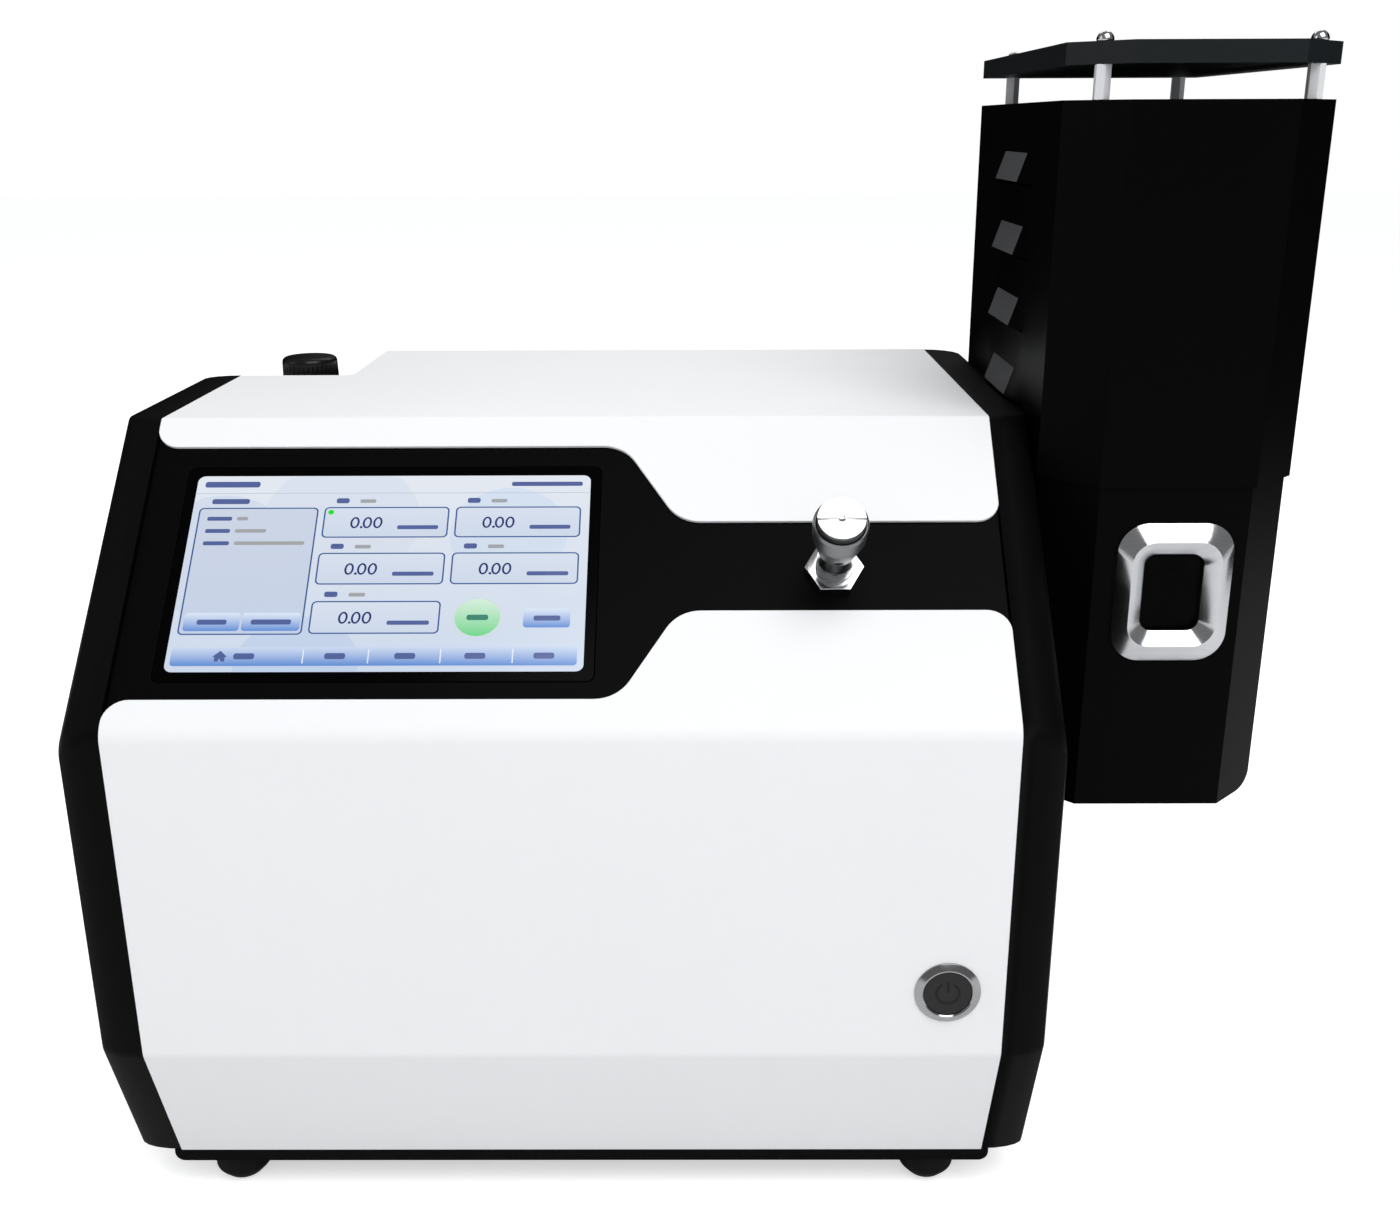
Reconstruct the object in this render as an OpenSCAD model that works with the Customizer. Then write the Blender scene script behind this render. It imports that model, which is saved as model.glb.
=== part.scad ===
// Flame photometer: a bench case with a sloping touch console and a burner tower on its right side.
// X runs across the case, Y runs from its front to its back, Z runs up. All sizes are in millimetres.

/* [Case] */
// Width of the white covers
cover_w = 331.4; // [320:0.2:350]
// Depth of the case from its front face to its rear face
case_d = 286; // [280:1:310]
// Height of the case above the base plate
case_h = 292; // [290:0.5:305]
// Thickness of the folded cover sheet
sheet_t = 1.5; // [1:0.1:2.5]
// Height of the fold between the chin and the front
chin_h = 62; // [50:1:75]
// How far the chin's lower edge lies behind the front
chin_setback = 23.7; // [15:0.1:30]
// Height of the fold between the front and the console
front_h = 196.6; // [190:0.2:202]
// Angle of the console above the horizontal
console_angle = 44.1; // [40:0.1:48]
// Outside radius of the front folds
fold_r = 10; // [4:0.5:14]
// Outside radius of the fold between console and top
top_fold_r = 2.5; // [2.5:0.1:5]
// Clearance between a cover and what it lies on
cover_gap = 0.1; // [0.05:0.05:0.3]
// Thickness of the black base plate
base_t = 5.5; // [4:0.5:8]
// How far the base plate runs out under each side panel
base_overhang = 3; // [1:0.5:6]
// Thickness of the rear panel
rear_t = 2; // [1.5:0.5:3]

/* [Cover edges on the console] */
// Upper cover's edge above the screen, up the console
upper_edge_screen = 123.3; // [119:0.1:125]
// Upper cover's edge above the valve, up the console
upper_edge_valve = 88.4; // [84:0.1:92]
// Lower cover's edge below the screen, up the console
lower_edge_screen = 13.7; // [11:0.1:18]
// Lower cover's edge below the valve, up the console
lower_edge_valve = 49.7; // [46:0.1:53]
// Left end of the S-bend between screen and valve
bend_x0 = 20; // [17:0.5:24]
// Right end of the S-bend between screen and valve
bend_x1 = 42; // [38:0.5:48]
// Radius of the S-bend
bend_r = 15; // [8:0.5:17]
// Radius of the covers' outer corners
cover_corner_r = 9; // [4:0.5:12]

/* [Side panels] */
// Thickness of each side panel
panel_t = 17.8; // [14:0.2:22]
// How far the panel's outer edge is rounded back from the front
panel_edge_front = 6; // [3:0.5:8]
// How far the panel's outer edge is rounded back from the console
panel_edge_console = 12; // [6:0.5:14]
// How far the panel's outer edge is rounded down from the top
panel_edge_top = 2; // [1:0.5:5]
// How far the panel's outer edge is rounded in from the back
panel_edge_rear = 6; // [3:0.5:8]
// Wall of the moulded panel
panel_wall = 4; // [3:0.5:6]

/* [Display] */
// Across position of the screen's centre
screen_x = -69.75; // [-72:0.25:-66]
// Screen's centre up the console
screen_s = 67.9; // [66:0.1:70]
// Width of the lit screen
screen_w = 154.08; // [140:0.02:156]
// Height of the lit screen
screen_h = 85.1; // [78:0.1:86]
// Black border of the touch glass
glass_border = 4; // [2:0.5:5]
// Thickness of the touch glass
glass_t = 1.8; // [1:0.1:2]
// Thickness of the display module
module_t = 5.5; // [4:0.5:8]
// Thickness of the black console panel
console_t = 3; // [2.4:0.2:4]

/* [Fuel valve] */
// Across position of the fuel valve
valve_x = 100.7; // [92:0.1:110]
// Fuel valve's axis up the console
valve_s = 66.7; // [65:0.1:72]
// Size of the panel nut across its flats
valve_nut_af = 19.5; // [17:0.5:22]
// Thickness of the panel nut
valve_nut_t = 4.5; // [3:0.5:6]
// Diameter of the stem collar
valve_collar_d = 14; // [12:0.5:15]
// Height of the collar's end above the cover surface
valve_collar_top = 9; // [7:0.5:10]
// Height of the knob's foot above the cover surface
valve_knob_foot = 9.6; // [9.5:0.1:12]
// Height of the knob's top face above the cover surface
valve_knob_top = 38; // [34:0.5:44]
// Diameter of the knob at its foot
valve_knob_foot_d = 12; // [11:0.5:14]
// Largest diameter of the knob
valve_knob_d = 19.8; // [17:0.2:22]
// Diameter of the valve stem
valve_stem_d = 5; // [4:0.1:6]
// Travel of the needle from shut to fully open
needle_travel = 2; // [1:0.1:3]

/* [Power button] */
// Across position of the power button
button_x = 143.6; // [130:0.1:145]
// Height of the power button's axis
button_z = 90.2; // [84:0.2:110]
// Diameter of the button's head
button_head_d = 25.2; // [24:0.1:26]
// How far the head stands out of the front
button_head_t = 2; // [1.5:0.1:2.5]
// Diameter of the moving cap
button_cap_d = 18.4; // [17:0.1:18.6]
// Diameter of the threaded housing
button_body_d = 21.8; // [21.4:0.1:22]
// Diameter of the panel hole
button_hole_d = 22.2; // [22.2:0.1:22.6]
// Travel of the cap
button_travel = 2.5; // [1.5:0.1:3]

/* [Regulator] */
// Across position of the regulator's axis
regulator_x = -138; // [-141:0.5:-137]
// Depth position of the regulator's axis
regulator_y = 225; // [224:0.5:228]
// Height of the sunken rear deck
deck_z = 252; // [248:1:256]
// Front wall of the regulator bay
bay_y = 205; // [202:0.5:208]
// Inner wall of the regulator bay
bay_x = -113.3; // [-116:0.1:-108]
// Diameter of the knob at its foot
regulator_knob_d = 28; // [26:0.5:29]
// Diameter of the knob at its shoulder
regulator_knob_top_d = 25.6; // [24:0.2:26]
// Height of the knob's top
regulator_knob_top = 299; // [297:0.5:302]
// How far the knob lifts to unlock
knob_lift = 3; // [2:0.5:4]
// Travel of the spring seat
seat_travel = 3; // [2:0.5:4]
// Across flats of the hexagon that drives the adjusting screw
drive_af = 8; // [7:0.5:9]

/* [Burner tower] */
// Width of the chimney shell
tower_w = 100.3; // [96:0.1:106]
// Depth of the chimney shell
tower_d = 187; // [180:1:195]
// How far the tower's front lies behind the case front
tower_y = 67; // [62:0.5:72]
// Chamfer of the tower's two front corners
tower_chamfer = 20; // [16:0.5:22]
// Height of the tower's underside
tower_z = 135.5; // [130:0.5:140]
// Radius of the tower's lower side corners
tower_fold_r = 7; // [3:0.5:10]
// Height of the chimney shell's lower edge
shell_z = 270; // [266:0.5:274]
// Height of the chimney shell's top
shell_top = 411; // [408:0.5:420]
// Thickness of the chimney sheet
shell_t = 1.5; // [1:0.1:2]
// Clearance between the shell and the housing inside it
shell_gap = 0.3; // [0.2:0.1:0.6]
// How far the housing reaches up inside the shell
shell_overlap = 15; // [8:1:18]
// Wall of the burner housing
housing_t = 2; // [1.5:0.1:3]
// Width of the inward flange at the chimney's top
flange_w = 18; // [16:0.5:20]
// Height of the gap under the cap plate
cap_gap = 12.1; // [8:0.1:20]
// Thickness of the cap plate
cap_t = 7.8; // [5:0.1:10]
// Distance of the spacers from the tower's sides
spacer_inset = 11.8; // [11:0.1:13]
// Across flats of the hexagon spacers
spacer_af = 5.5; // [5.5:0.1:7]
// Diameter of the cap screws' domed heads
dome_d = 6.4; // [6:0.2:8]

/* [Louvres] */
// Number of louvres in a column
louvre_count = 4; // [1:1:4]
// Length of a louvre's face
louvre_l = 46; // [30:1:52]
// Height of a louvre's face
louvre_h = 12; // [8:0.5:14]
// How far a louvre's lower edge stands out
louvre_out = 4; // [3:0.5:6]
// Length of a louvre's slanting end
louvre_end = 20; // [8:1:22]
// Spacing of the louvres
louvre_pitch = 29.1; // [20:0.1:30]
// Height of the lowest louvre's centre
louvre_z = 298.6; // [296:0.2:302]

/* [Window] */
// Height of the window's centre and of the light path
window_z = 227.35; // [220:0.05:232]
// How far the window's centre lies right of the tower's centre
window_shift = 1.9; // [0:0.1:5]
// Width of the bezel
bezel_w = 45.5; // [42:0.1:48]
// Height of the bezel
bezel_h = 56.5; // [52:0.1:60]
// Width of the window opening
window_w = 23.6; // [20:0.1:26]
// Height of the window opening
window_h = 31.6; // [28:0.1:36]
// How far the bezel stands out
bezel_t = 4.6; // [3:0.1:6]
// Thickness of the window glass
window_t = 3; // [2:0.5:4]

/* [Burner] */
// Depth position of the flame's axis
burner_y = 150; // [146:1:156]
// Diameter of the burner head
burner_d = 30; // [26:0.5:34]
// Height of the burner head's top
burner_top = 207; // [204:0.5:210]
// Outside diameter of the mixing chamber
mixer_d = 46; // [42:0.5:50]
// Wall of the mixing chamber
mixer_wall = 2.5; // [2:0.5:4]
// Outside diameter of the glass flame tube
flame_glass_d = 54; // [50:0.5:56]
// Wall of the glass flame tube
flame_glass_wall = 2; // [1.5:0.5:3]
// Height of the glass flame tube's top
flame_glass_top = 330; // [320:1:345]
// Radius of the drain nipple
drain_r = 4; // [3:0.25:5]
// Radius of the sample nipple
sample_r = 2.5; // [2:0.25:4]
// How far the nipples hang below the tower
nipple_l = 20; // [16:1:24]

/* [Optics] */
// Outside diameter of the light tube
light_tube_d = 56; // [52:0.5:60]
// Wall of the light tube
light_tube_wall = 2.5; // [2:0.5:3]
// Diameter of the collimating lens
lens_d = 50; // [46:0.5:50.5]
// Diameter of a colour filter
filter_d = 12.5; // [10:0.5:13]
// Distance of the outer filters from the centre
filter_ring_r = 16.5; // [15:0.5:17]
// Diameter of a photodetector's can
detector_d = 9.2; // [8:0.1:9.8]

/* [Connections] */
// Across position of the fuel inlet
fuel_inlet_x = 40; // [20:1:60]
// Height of the fuel and air inlets
inlet_z = 150; // [140:1:165]
// Radius of the hose tails
hose_r = 4; // [3:0.25:5]
// Length of the hose tails outside the case
hose_l = 18; // [14:1:22]
// Across position of the mains inlet
mains_x = 110; // [90:1:125]
// Height of the mains inlet's centre
mains_z = 48; // [45:1:60]

/* [Feet] */
// Distance of each foot from the centre line
foot_x = 145; // [130:0.5:152]
// Distance of the feet from the front face
foot_y = 38; // [36:0.5:50]
// Diameter of a rubber foot
foot_d = 23; // [18:0.5:26]
// Height of a rubber foot
foot_h = 14.5; // [10:0.5:20]

/* [Hidden] */
$fn = 64;
over = 1; // overlap of cutting shapes past a face
running = 0.05; // radial clearance of turning and sliding fits
slack = 0.3; // radial clearance of holes that a part only passes through
half_w = cover_w / 2;
cut_w = half_w + 0.05; // half width of the shapes that cut the covers
outer_x = half_w + panel_t;
console_run = (case_h - front_h) / tan(console_angle);
console_len = (case_h - front_h) / sin(console_angle);
case_profile = [
    [chin_setback, 0], [0, chin_h], [0, front_h], [console_run, case_h], [case_d, case_h], [case_d, 0]
];
cover_rear_y = case_d - rear_t;
console_depth = sheet_t + cover_gap;
glass_w = screen_w + 2 * glass_border;
glass_h = screen_h + 2 * glass_border;
glass_gap = 0.2;
tower_x = outer_x + 0.2;
tower_end = tower_x + tower_w;
tower_rear = tower_y + tower_d;
housing_inset = shell_t + shell_gap;
burner_x = tower_x + tower_w / 2;
window_x = burner_x + window_shift;
housing_top = shell_z + shell_overlap;
cap_z = shell_top + cap_gap;
base_z = -base_t - foot_h;
mid_x = (tower_end + louvre_out - outer_x) / 2;
front_y = -button_head_t;
back_y = case_d + hose_l;
mid_y = (front_y + back_y) / 2;
feet_places = [
    for (x = [-foot_x, foot_x])
    for (y = [foot_y, case_d - foot_y])
    [x, y]
];
spacer_places = [
    for (x = [tower_x + spacer_inset, tower_end - spacer_inset])
    for (y = [tower_y + spacer_inset, tower_rear - spacer_inset])
    [x, y]
];
lead_r = 2.5;
filter_places = [
    [0, 0],
    for (a = [0:90:270]) filter_ring_r * [cos(a), sin(a)]
];

// Screws and holes
foot_screw_d = 4;
foot_screw_head_d = 7;
foot_recess = 4;
case_screw_d = 3;
case_screw_head_d = 5.6;
stud_d = 3.8;
rear_screw_places = [
    [-half_w + 12, 14], [half_w - 12, 14], [half_w - 12, case_h - 16], [bay_x + 14, case_h - 16]
];

// Gas parts
thread_r = 6;
tube_d = 6;
tube_gap = 0.4;
port_r = 3.4;
fitting_l = 14;
grommet_d = 11;
fuel_hole = [burner_y + 30, 160];
air_hole = [burner_y + 50, 175];
tube_holes = [fuel_hole, air_hole];
solenoid_y = case_d - 60;
solenoid_reach = 20;
port_l = 12;
valve_body_d = 22;
valve_body_l = 34;
valve_side_up = 8;
valve_top_n = -console_depth - console_t - cover_gap;
valve_foot_n = valve_top_n - valve_body_l - port_l;
valve_side_n = valve_top_n - valve_body_l + valve_side_up;
valve_seat_n = valve_top_n - valve_body_l + 4 + needle_travel;
spindle_end_n = -console_depth - 14;
grub_d = 3;
grub_z = valve_knob_foot + 8;

// Regulator
deck_t = 1.5;
bonnet_neck_d = 22;
bonnet_d = 34;
bonnet_foot = deck_z - 34;
neck_top = deck_z + 9;
spring_room_d = 24;
diaphragm_recess = 5;
screw_d = 10;
screw_foot = deck_z - 17 - seat_travel;
seat_t = 3;
regulator_body_w = 42;
regulator_body_h = 40;
regulator_port_z = bonnet_foot - regulator_body_h / 2;

// Power button
button_body_l = 24;
button_floor = 4;
button_stem_d = 6;
button_spring_d = 10;
cap_l = 6;
cap_sink = 0.7;

// Display
board_t = 1.6;
bracket_back = console_depth + console_t + cover_gap + module_t + 1;

// Mains inlet
mains_w = 27.5;
mains_h = 48;
mains_flange_t = 3;
socket_w = 24;
socket_h = 16;
socket_l = 14;
socket_up = 10;
pin_l = 8.5;
drawer_w = 22;
drawer_h = 12;
drawer_l = 24;
drawer_shift = 14;
drawer_foot = case_d + mains_flange_t - drawer_l + 0.1;

// Light path
lens_x = half_w - 10;
optics_x0 = half_w - 76;
optics_x1 = half_w - 26;
optics_size = light_tube_d + 6;
lens_edge = 5;
lens_sag = 4;
lens_gap = 0.1;

// Burner
neck_d = 18;
neck_l = 4;
chamber_top = 185;
flame_seat_z = 190;
flame_seat_t = 4;
nebulizer_z = 165;
nebulizer_y = burner_y + mixer_d / 2 + 26;
nebulizer_d = 16;
jet_d = 8;
nipple_places = [[burner_y, drain_r], [nebulizer_y, sample_r]];
nipple_step = 0.4;
nipple_top = tower_z - 1;
igniter_sleeve_d = 7;
igniter_z = burner_top + 6;
louvre_y = tower_y + tower_d / 2 + 4.8;

// A vector of length one along v.
function unit(v) = v / norm(v);

// The corner p of a clockwise outline, with the edge before it moved in by da and the edge after it by db.
function moved_corner(a, p, b, da, db) = let (
    u = unit(p - a),
    v = unit(b - p),
    m = [u[1], -u[0]],
    n = [v[1], -v[0]],
    det = m[0] * n[1] - m[1] * n[0]
) p + [da * n[1] - db * m[1], db * m[0] - da * n[0]] / det;

// A clockwise outline with each edge i moved in by steps[i].
function moved_in(pts, steps) = let (count = len(pts)) [
    for (i = [0:count - 1]) let (before = (i + count - 1) % count)
        moved_corner(pts[before], pts[i], pts[(i + 1) % count], steps[before], steps[i])
];

// A list of the same step for every edge of an outline.
function even(pts, step) = [for (p = pts) step];

// Points of a round corner of radius r at p, between the points a and b.
function round_corner(a, p, b, r, count = 8) = let (
    u = unit(a - p),
    v = unit(b - p),
    half = acos(u * v) / 2,
    centre = p + unit(u + v) * r / sin(half),
    first = p + u * r / tan(half) - centre,
    last = p + v * r / tan(half) - centre,
    start = atan2(first[1], first[0]),
    swing = atan2(last[1], last[0]) - start,
    turn = swing > 180 ? swing - 360 : swing < -180 ? swing + 360 : swing
) [for (i = [0:count]) centre + r * [cos(start + turn * i / count), sin(start + turn * i / count)]];

// An outline with a round corner of radius radii[i] at each point, and a sharp one where it is 0.
function rounded(pts, radii) = let (count = len(pts)) [
    for (i = [0:count - 1])
    each (radii[i] == 0 ? [pts[i]]
        : round_corner(pts[(i + count - 1) % count], pts[i], pts[(i + 1) % count], radii[i]))
];

// The case's own outline moved in all round, with its front folds rounded.
function case_outline(step) = rounded(
    moved_in(case_profile, even(case_profile, step)),
    [0, fold_r - step, fold_r - step, top_fold_r - step, 0, 0]
);

// The tower's outline seen from above, clockwise, moved in by a step.
function tower_outline(step) = let (
    x0 = tower_x,
    x1 = tower_end,
    y0 = tower_y,
    y1 = tower_rear,
    c = tower_chamfer,
    pts = [[x0 + c, y0], [x0, y0 + c], [x0, y1], [x1, y1], [x1, y0 + c], [x1 - c, y0]]
) moved_in(pts, even(pts, step));

// The place in the case frame of a point on the console: X across, s up its slope, n out of it.
function console_point(x, s, n) = [
    x,
    s * cos(console_angle) - n * sin(console_angle),
    front_h + s * sin(console_angle) + n * cos(console_angle)
];

// Puts children on the console: X across, Y up its slope, Z out of it.
module on_console(x = 0, s = 0) {
    translate([0, 0, front_h]) rotate([console_angle, 0, 0]) translate([x, s, 0]) children();
}

// Extrudes a side outline (Y, Z) from x0 to x1.
module across(x0, x1) {
    translate([x0, 0, 0]) rotate([90, 0, 90]) linear_extrude(x1 - x0) children();
}

// Turns +Z to +Y, so that a shape drawn upwards points to the rear.
module rearward(x, y, z) {
    translate([x, y, z]) rotate([-90, 0, 0]) children();
}

// A flat plate with round corners, centred in X and Y.
module round_plate(w, h, t, r) {
    linear_extrude(t) round_rect(w, h, r);
}

// A rectangle with round corners, centred.
module round_rect(w, h, r) {
    polygon(rounded([[-w / 2, -h / 2], [-w / 2, h / 2], [w / 2, h / 2], [w / 2, -h / 2]], [r, r, r, r]));
}

// A ring of outer diameter d, inner diameter bore and height h.
module ring(d, bore, h) {
    difference() {
        cylinder(d = d, h = h);
        translate([0, 0, -over]) cylinder(d = bore, h = h + 2 * over);
    }
}

// A hexagonal prism of a given size across its flats.
module hexagon(af, h) {
    cylinder(d = af / cos(30), h = h, $fn = 6);
}

// A hose tail along +Z: a bored shank with grooves that grip the hose.
module hose_tail(r, l) {
    groove_w = 1.4;
    groove_deep = 0.5;
    pitch = 3;
    difference() {
        cylinder(r = r, h = l);
        translate([0, 0, -over]) cylinder(r = r * 0.55, h = l + 2 * over);
        for (k = [0:2]) translate([0, 0, l - 3 - k * pitch])
            ring(2 * r + 2, 2 * (r - groove_deep), groove_w);
    }
}

// A round tube swept along a smooth curve through the points, with a ring at each step.
module swept_tube(pts, d, steps = 5, sides = 8) {
    count = len(pts);
    function at(i) = pts[max(0, min(count - 1, i))];
    function spot(i, t) = 0.5 * (2 * at(i) + (at(i + 1) - at(i - 1)) * t
        + (2 * at(i - 1) - 5 * at(i) + 4 * at(i + 1) - at(i + 2)) * t * t
        + (3 * at(i) - at(i - 1) - 3 * at(i + 1) + at(i + 2)) * t * t * t);
    route = [for (i = [0:count - 2]) for (k = [0:steps - 1]) spot(i, k / steps), pts[count - 1]];
    last = len(route) - 1;
    ways = [for (i = [0:last]) unit(route[min(last, i + 1)] - route[max(0, i - 1)])];
    function normals(i, found) = i > last ? found : let (
        n = found[len(found) - 1],
        flat = n - ways[i] * (n * ways[i])
    ) normals(i + 1, concat(found, [unit(flat)]));
    seed = abs(ways[0][2]) < 0.9 ? [0, 0, 1] : [1, 0, 0];
    frames = normals(1, [unit(seed - ways[0] * (seed * ways[0]))]);
    verts = [for (i = [0:last]) for (k = [0:sides - 1]) let (a = 360 * k / sides)
        route[i] + d / 2 * (cos(a) * frames[i] + sin(a) * cross(ways[i], frames[i]))];
    walls = [for (i = [0:last - 1]) for (k = [0:sides - 1]) let (n = (k + 1) % sides)
        each [[i * sides + k, (i + 1) * sides + k, (i + 1) * sides + n],
              [i * sides + k, (i + 1) * sides + n, i * sides + n]]];
    start = [for (k = [1:sides - 2]) [0, k, k + 1]];
    end = last * sides;
    finish = [for (k = [1:sides - 2]) [end, end + k + 1, end + k]];
    polyhedron(verts, concat(walls, start, finish), convexity = 10);
}

// The folded sheet of both covers, before their edges are cut.
module cover_sheet(x0, x1) {
    open_rear = case_d + 20;
    inner = case_outline(sheet_t);
    across(x0, x1) difference() {
        polygon(case_outline(0));
        polygon([for (p = inner) [p[0] > case_d / 2 ? open_rear : p[0], p[1] < chin_h / 2 ? -over : p[1]]]);
    }
}

// Outline on the console below which the lower cover lies.
module lower_region() {
    low = -30;
    r = cover_corner_r;
    polygon(rounded(
        [[-cut_w, low], [-cut_w, lower_edge_screen], [bend_x0, lower_edge_screen],
         [bend_x1, lower_edge_valve], [cut_w, lower_edge_valve], [cut_w, low]],
        [0, r, bend_r, bend_r, r, 0]
    ));
}

// Outline on the console above which the upper cover lies.
module upper_region() {
    high = console_len + 30;
    r = cover_corner_r;
    polygon(rounded(
        [[-cut_w, high], [cut_w, high], [cut_w, upper_edge_valve], [bend_x1, upper_edge_valve],
         [bend_x0, upper_edge_screen], [-cut_w, upper_edge_screen]],
        [0, 0, r, bend_r, bend_r, r]
    ));
}

module upper_cover() {
    reach = 25;
    step_r = 6;
    color("whitesmoke") difference() {
        intersection() {
            cover_sheet(-half_w, half_w);
            union() {
                on_console() translate([0, 0, -reach]) linear_extrude(2 * reach) upper_region();
                translate([-outer_x, console_run + reach, case_h - reach])
                    cube([2 * outer_x, case_d, 2 * reach]);
            }
        }
        translate([-half_w - over, cover_rear_y, case_h - reach])
            cube([cover_w + 2 * over, 2 * reach, 2 * reach]);
        translate([0, 0, case_h - reach]) linear_extrude(2 * reach) polygon(rounded(
            [[-outer_x, bay_y], [-outer_x, case_d + reach], [bay_x, case_d + reach], [bay_x, bay_y]],
            [0, 0, 0, step_r]
        ));
    }
}

module lower_cover() {
    reach = 25;
    color("whitesmoke") difference() {
        intersection() {
            cover_sheet(-half_w, half_w);
            union() {
                on_console() translate([0, 0, -reach]) linear_extrude(2 * reach) lower_region();
                translate([-outer_x, -over, -over])
                    cube([2 * outer_x, chin_setback + reach, front_h - reach]);
            }
        }
        rearward(button_x, -over, button_z) cylinder(d = button_hole_d, h = sheet_t + 2 * over);
    }
}

module console_panel() {
    low = 6;
    high = console_len - 5;
    side_gap = 0.4;
    color("#101113") on_console() translate([0, 0, -console_depth - console_t]) difference() {
        translate([-half_w + side_gap, low, 0]) cube([cover_w - 2 * side_gap, high - low, console_t]);
        translate([screen_x, screen_s, console_t - glass_t - glass_gap])
            round_plate(glass_w + 2 * glass_gap, glass_h + 2 * glass_gap, console_t, 3);
        translate([screen_x, screen_s, -over])
            round_plate(screen_w + 2 * slack, screen_h + 2 * slack, console_t + over, 1.2);
        translate([valve_x, valve_s, -over])
            cylinder(d = valve_collar_d + 2 * slack, h = console_t + 2 * over);
    }
}

// One side panel, standing on the plane X = 0 and growing to +X.
module side_shell() {
    steps = 5;
    slice = 0.01;
    full = [panel_edge_front, panel_edge_front, panel_edge_console, panel_edge_top, panel_edge_rear, 0];
    hull() for (k = [0:steps]) {
        a = 90 * k / steps;
        inset = full * (1 - cos(a));
        x = (panel_t - slice) * sin(a);
        across(x, x + slice)
            polygon(rounded(moved_in(case_profile, inset), [2, fold_r, fold_r, 6, 4, 2]));
    }
}

// The hollow behind a side panel's face, open to the inside of the case.
module side_pocket() {
    across(-over, panel_t - panel_wall) difference() {
        polygon(moved_in(case_profile, even(case_profile, panel_edge_console + panel_wall)));
        children();
    }
}

module left_side_panel() {
    deck_front = [bay_y, deck_z];
    color("#131416") mirror([1, 0, 0]) translate([half_w, 0, 0]) difference() {
        side_shell();
        side_pocket() polygon([
            deck_front - [panel_wall * 2, panel_wall * 2], [deck_front[0] - panel_wall * 2, case_h],
            [case_d, case_h], [case_d, deck_front[1] - panel_wall * 2]
        ]);
        across(-over, panel_t + over) polygon([
            deck_front, [deck_front[0], case_h + over],
            [case_d + over, case_h + over], [case_d + over, deck_front[1]]
        ]);
    }
}

module right_side_panel() {
    boss_r = light_tube_d / 2 + 12;
    color("#131416") translate([half_w, 0, 0]) difference() {
        side_shell();
        side_pocket() translate([burner_y, window_z]) circle(r = boss_r);
        translate([-over, burner_y, window_z]) rotate([0, 90, 0])
            cylinder(d = light_tube_d + 2 * slack, h = panel_t + 2 * over);
        for (hole = tube_holes) translate([-over, hole[0], hole[1]]) rotate([0, 90, 0])
            cylinder(d = grommet_d, h = panel_t + 2 * over);
    }
}

module base_plate() {
    w = cover_w + 2 * base_overhang;
    lower_r = 4;
    slot_w = 4;
    slot_l = 60;
    slot_pitch = 12;
    slots_reach = 60;
    front = chin_setback + 0.3;
    color("#0d0e0f") difference() {
        translate([0, case_d, 0]) rotate([90, 0, 0]) linear_extrude(case_d - front) polygon(rounded(
            [[-w / 2, -base_t], [-w / 2, 0], [w / 2, 0], [w / 2, -base_t]],
            [lower_r, 0, 0, lower_r]
        ));
        for (p = feet_places) translate([p[0], p[1], -base_t - over])
            cylinder(d = foot_screw_d + 2 * slack, h = base_t + 2 * over);
        for (x = [-slots_reach:slot_pitch:slots_reach])
            translate([x - slot_w / 2, (case_d - slot_l) / 2, -base_t - over])
                cube([slot_w, slot_l, base_t + 2 * over]);
    }
}

module feet() {
    flat_d = foot_d - 9;
    shoulder = 5;
    color("#161616") for (p = feet_places) translate([p[0], p[1], base_z]) difference() {
        rotate_extrude() polygon(rounded(
            [[0, 0], [flat_d / 2, 0], [foot_d / 2, shoulder], [foot_d / 2, foot_h], [0, foot_h]],
            [0, 3, 4, 0.8, 0]
        ));
        translate([0, 0, -over]) cylinder(d = foot_screw_head_d + 2 * slack, h = foot_recess + over);
        cylinder(d = foot_screw_d + 2 * slack, h = foot_h + over);
    }
}

module foot_screws() {
    head_t = 2.5;
    thread_out = 3;
    color("silver") for (p = feet_places) translate([p[0], p[1], base_z + foot_recess - head_t]) {
        cylinder(d = foot_screw_head_d, h = head_t);
        cylinder(d = foot_screw_d, h = head_t + foot_h - foot_recess + base_t + thread_out);
    }
}

module rear_panel() {
    side_gap = 0.4;
    top = case_h - sheet_t - cover_gap;
    slot_l = 60;
    color("#17181a") difference() {
        translate([-half_w + side_gap, cover_rear_y, 0]) cube([cover_w - 2 * side_gap, rear_t, top]);
        translate([-half_w - over, cover_rear_y - over, deck_z - deck_t])
            cube([bay_x + half_w + over, rear_t + 2 * over, case_h]);
        for (x = [fuel_inlet_x, regulator_x]) rearward(x, cover_rear_y - over, inlet_z)
            cylinder(r = thread_r + slack, h = rear_t + 2 * over);
        translate([mains_x - mains_w / 2 - slack, cover_rear_y - over, mains_z - mains_h / 2 - slack])
            cube([mains_w + 2 * slack, rear_t + 2 * over, mains_h + 2 * slack]);
        for (k = [0:7]) translate([0, cover_rear_y - over, 200 + 9 * k])
            rotate([-90, 0, 0]) linear_extrude(rear_t + 2 * over) round_rect(slot_l, 4, 1.9);
        for (p = rear_screw_places) rearward(p[0], cover_rear_y - over, p[1])
            cylinder(d = case_screw_d + 2 * slack, h = rear_t + 2 * over);
    }
}

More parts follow.
